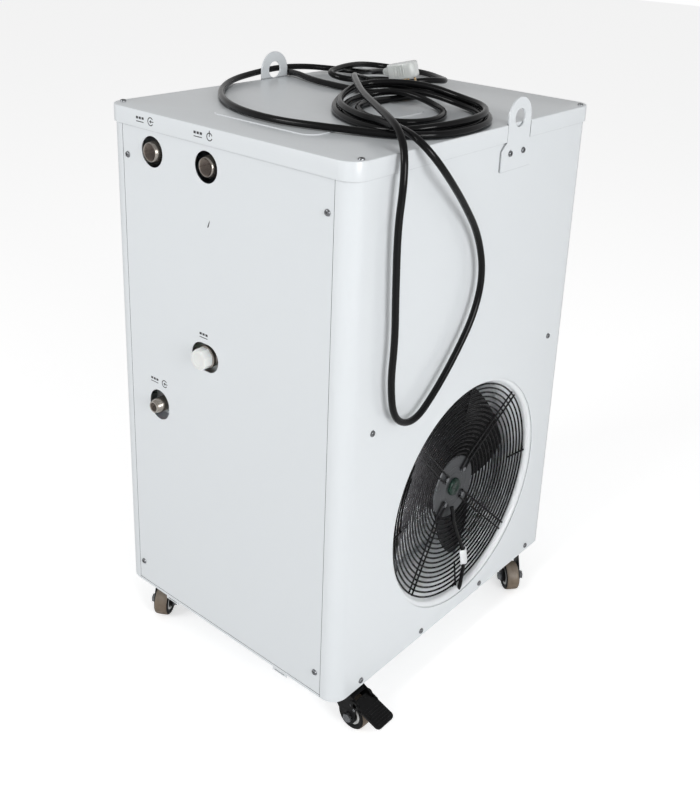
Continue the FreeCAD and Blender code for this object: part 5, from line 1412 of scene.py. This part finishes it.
for number, name in enumerate(("down", "up", "set")):
    x = display_x + (number - 1) * key_pitch
    key = lathe([(0, 0), (0.0035, 0), (0.0035, 0.0024), (0.0032, 0.0029), (0.0026, 0.0030), (0.0018, 0.0026),
                 (0, 0.0024)], 32)
    key.transform(facing((x, front_y - 0.002, control_z - key_drop), (0, 1, 0)))
    make_piece("panel_key_" + name, key, key_grey, body="button_" + name, stands_for="key_" + name)


# The main switch: a black snap-in frame and a rocker on stub pins, with the two usual signs,
# a bar and a ring.
shape = bmesh.new()
outside = oblong(-0.0128, -0.0098, 0.0256, 0.0196)
well = oblong(-0.010, -0.008, 0.020, 0.016)
for outlines, thick, seat in (((oblong(-0.015, -0.012, 0.030, 0.024), well), 0.003, 0),
                              ((outside, well), 0.013, -0.013), ((outside,), 0.003, -0.016)):
    rim = bmesh.new()
    for outline in outlines:
        trace(rim, *outline)
    add_shape(shape, fill_and_lift(rim, thick, seat))
shape.transform(Matrix.Translation((switch_x, back_y, control_z)) @ to_back)
make_piece("switch_rim", shape, black_plastic, edge=0.0005, stands_for="switch_frame")
rocker = bmesh.new()
trace(rocker, (-0.004, -0.00384), ((0.0125, -0.00256), (-0.0013, 0.0064), (0.0013, 0.0064), (-0.0125, -0.00256),
                                   (0, -0.00768)))
fill_and_lift(rocker, 0.0192, -0.0096)
pin = lathe([(0, -0.0118), (0.0015, -0.0118), (0.0015, 0.0118), (0, 0.0118)], 16)
add_shape(rocker, pin)
tilted = Matrix.Translation((switch_x, back_y - 0.004, control_z)) @ Matrix.Rotation(math.radians(-8), 4, "X")
rocker.transform(tilted @ to_side)
make_piece("switch_button", rocker, black_plastic, body="rocker", edge=0.0004,
           stands_for="switch_rocker")
signs = bmesh.new()
for outline, z in ((oblong(-0.0003, -0.0014, 0.0006, 0.0028), 0.0036), (printed_ring(0, 0.0014, 0.0004), -0.0036)):
    part = bmesh.new()
    trace(part, *outline, 20)
    fill_and_lift(part, 0.0001)
    lean = math.radians(11.5 if z > 0 else -11.5)
    part.transform(tilted @ Matrix.Translation((0, 0.00795, z)) @ Matrix.Rotation(-lean, 4, "X") @ to_back)
    add_shape(signs, part)
make_piece("switch_signs", signs, white_plastic, body="rocker")


# The inside: a tray and a welded tube frame in the cabinet's coat, the tank, pump, compressor,
# plate exchanger and electric box; they show a little through the holes and slots.
tank_plastic = finish_named("tank_plastic", (0.74, 0.76, 0.74), (0.66, 0.68, 0.66), 0.45, patch=20.0,
                            height=0.00003, dust=0.2, Subsurface_Weight=0.15)
compressor_black = finish_named("compressor_enamel", (0.012, 0.012, 0.013), (0.022, 0.022, 0.024), 0.3, patch=25.0,
                                height=0.00006, edge_wear_and_highlight=(0.25, 0.24, 0.23), dust=0.4)
steel = finish_named("stainless_plates", (0.50, 0.49, 0.47), (0.62, 0.61, 0.59), 0.3, spread=0.2, patch=50.0,
                     height=0.00002, Metallic=1.0)
for name, material in (("base_pan", powder_coat), ("frame", powder_coat), ("water_tank", tank_plastic),
                       ("water_pump", compressor_black), ("compressor", compressor_black),
                       ("plate_exchanger", steel), ("electric_box", galvanised)):
    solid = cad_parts[name]
    solid.data.materials.clear()
    solid.data.materials.append(material)
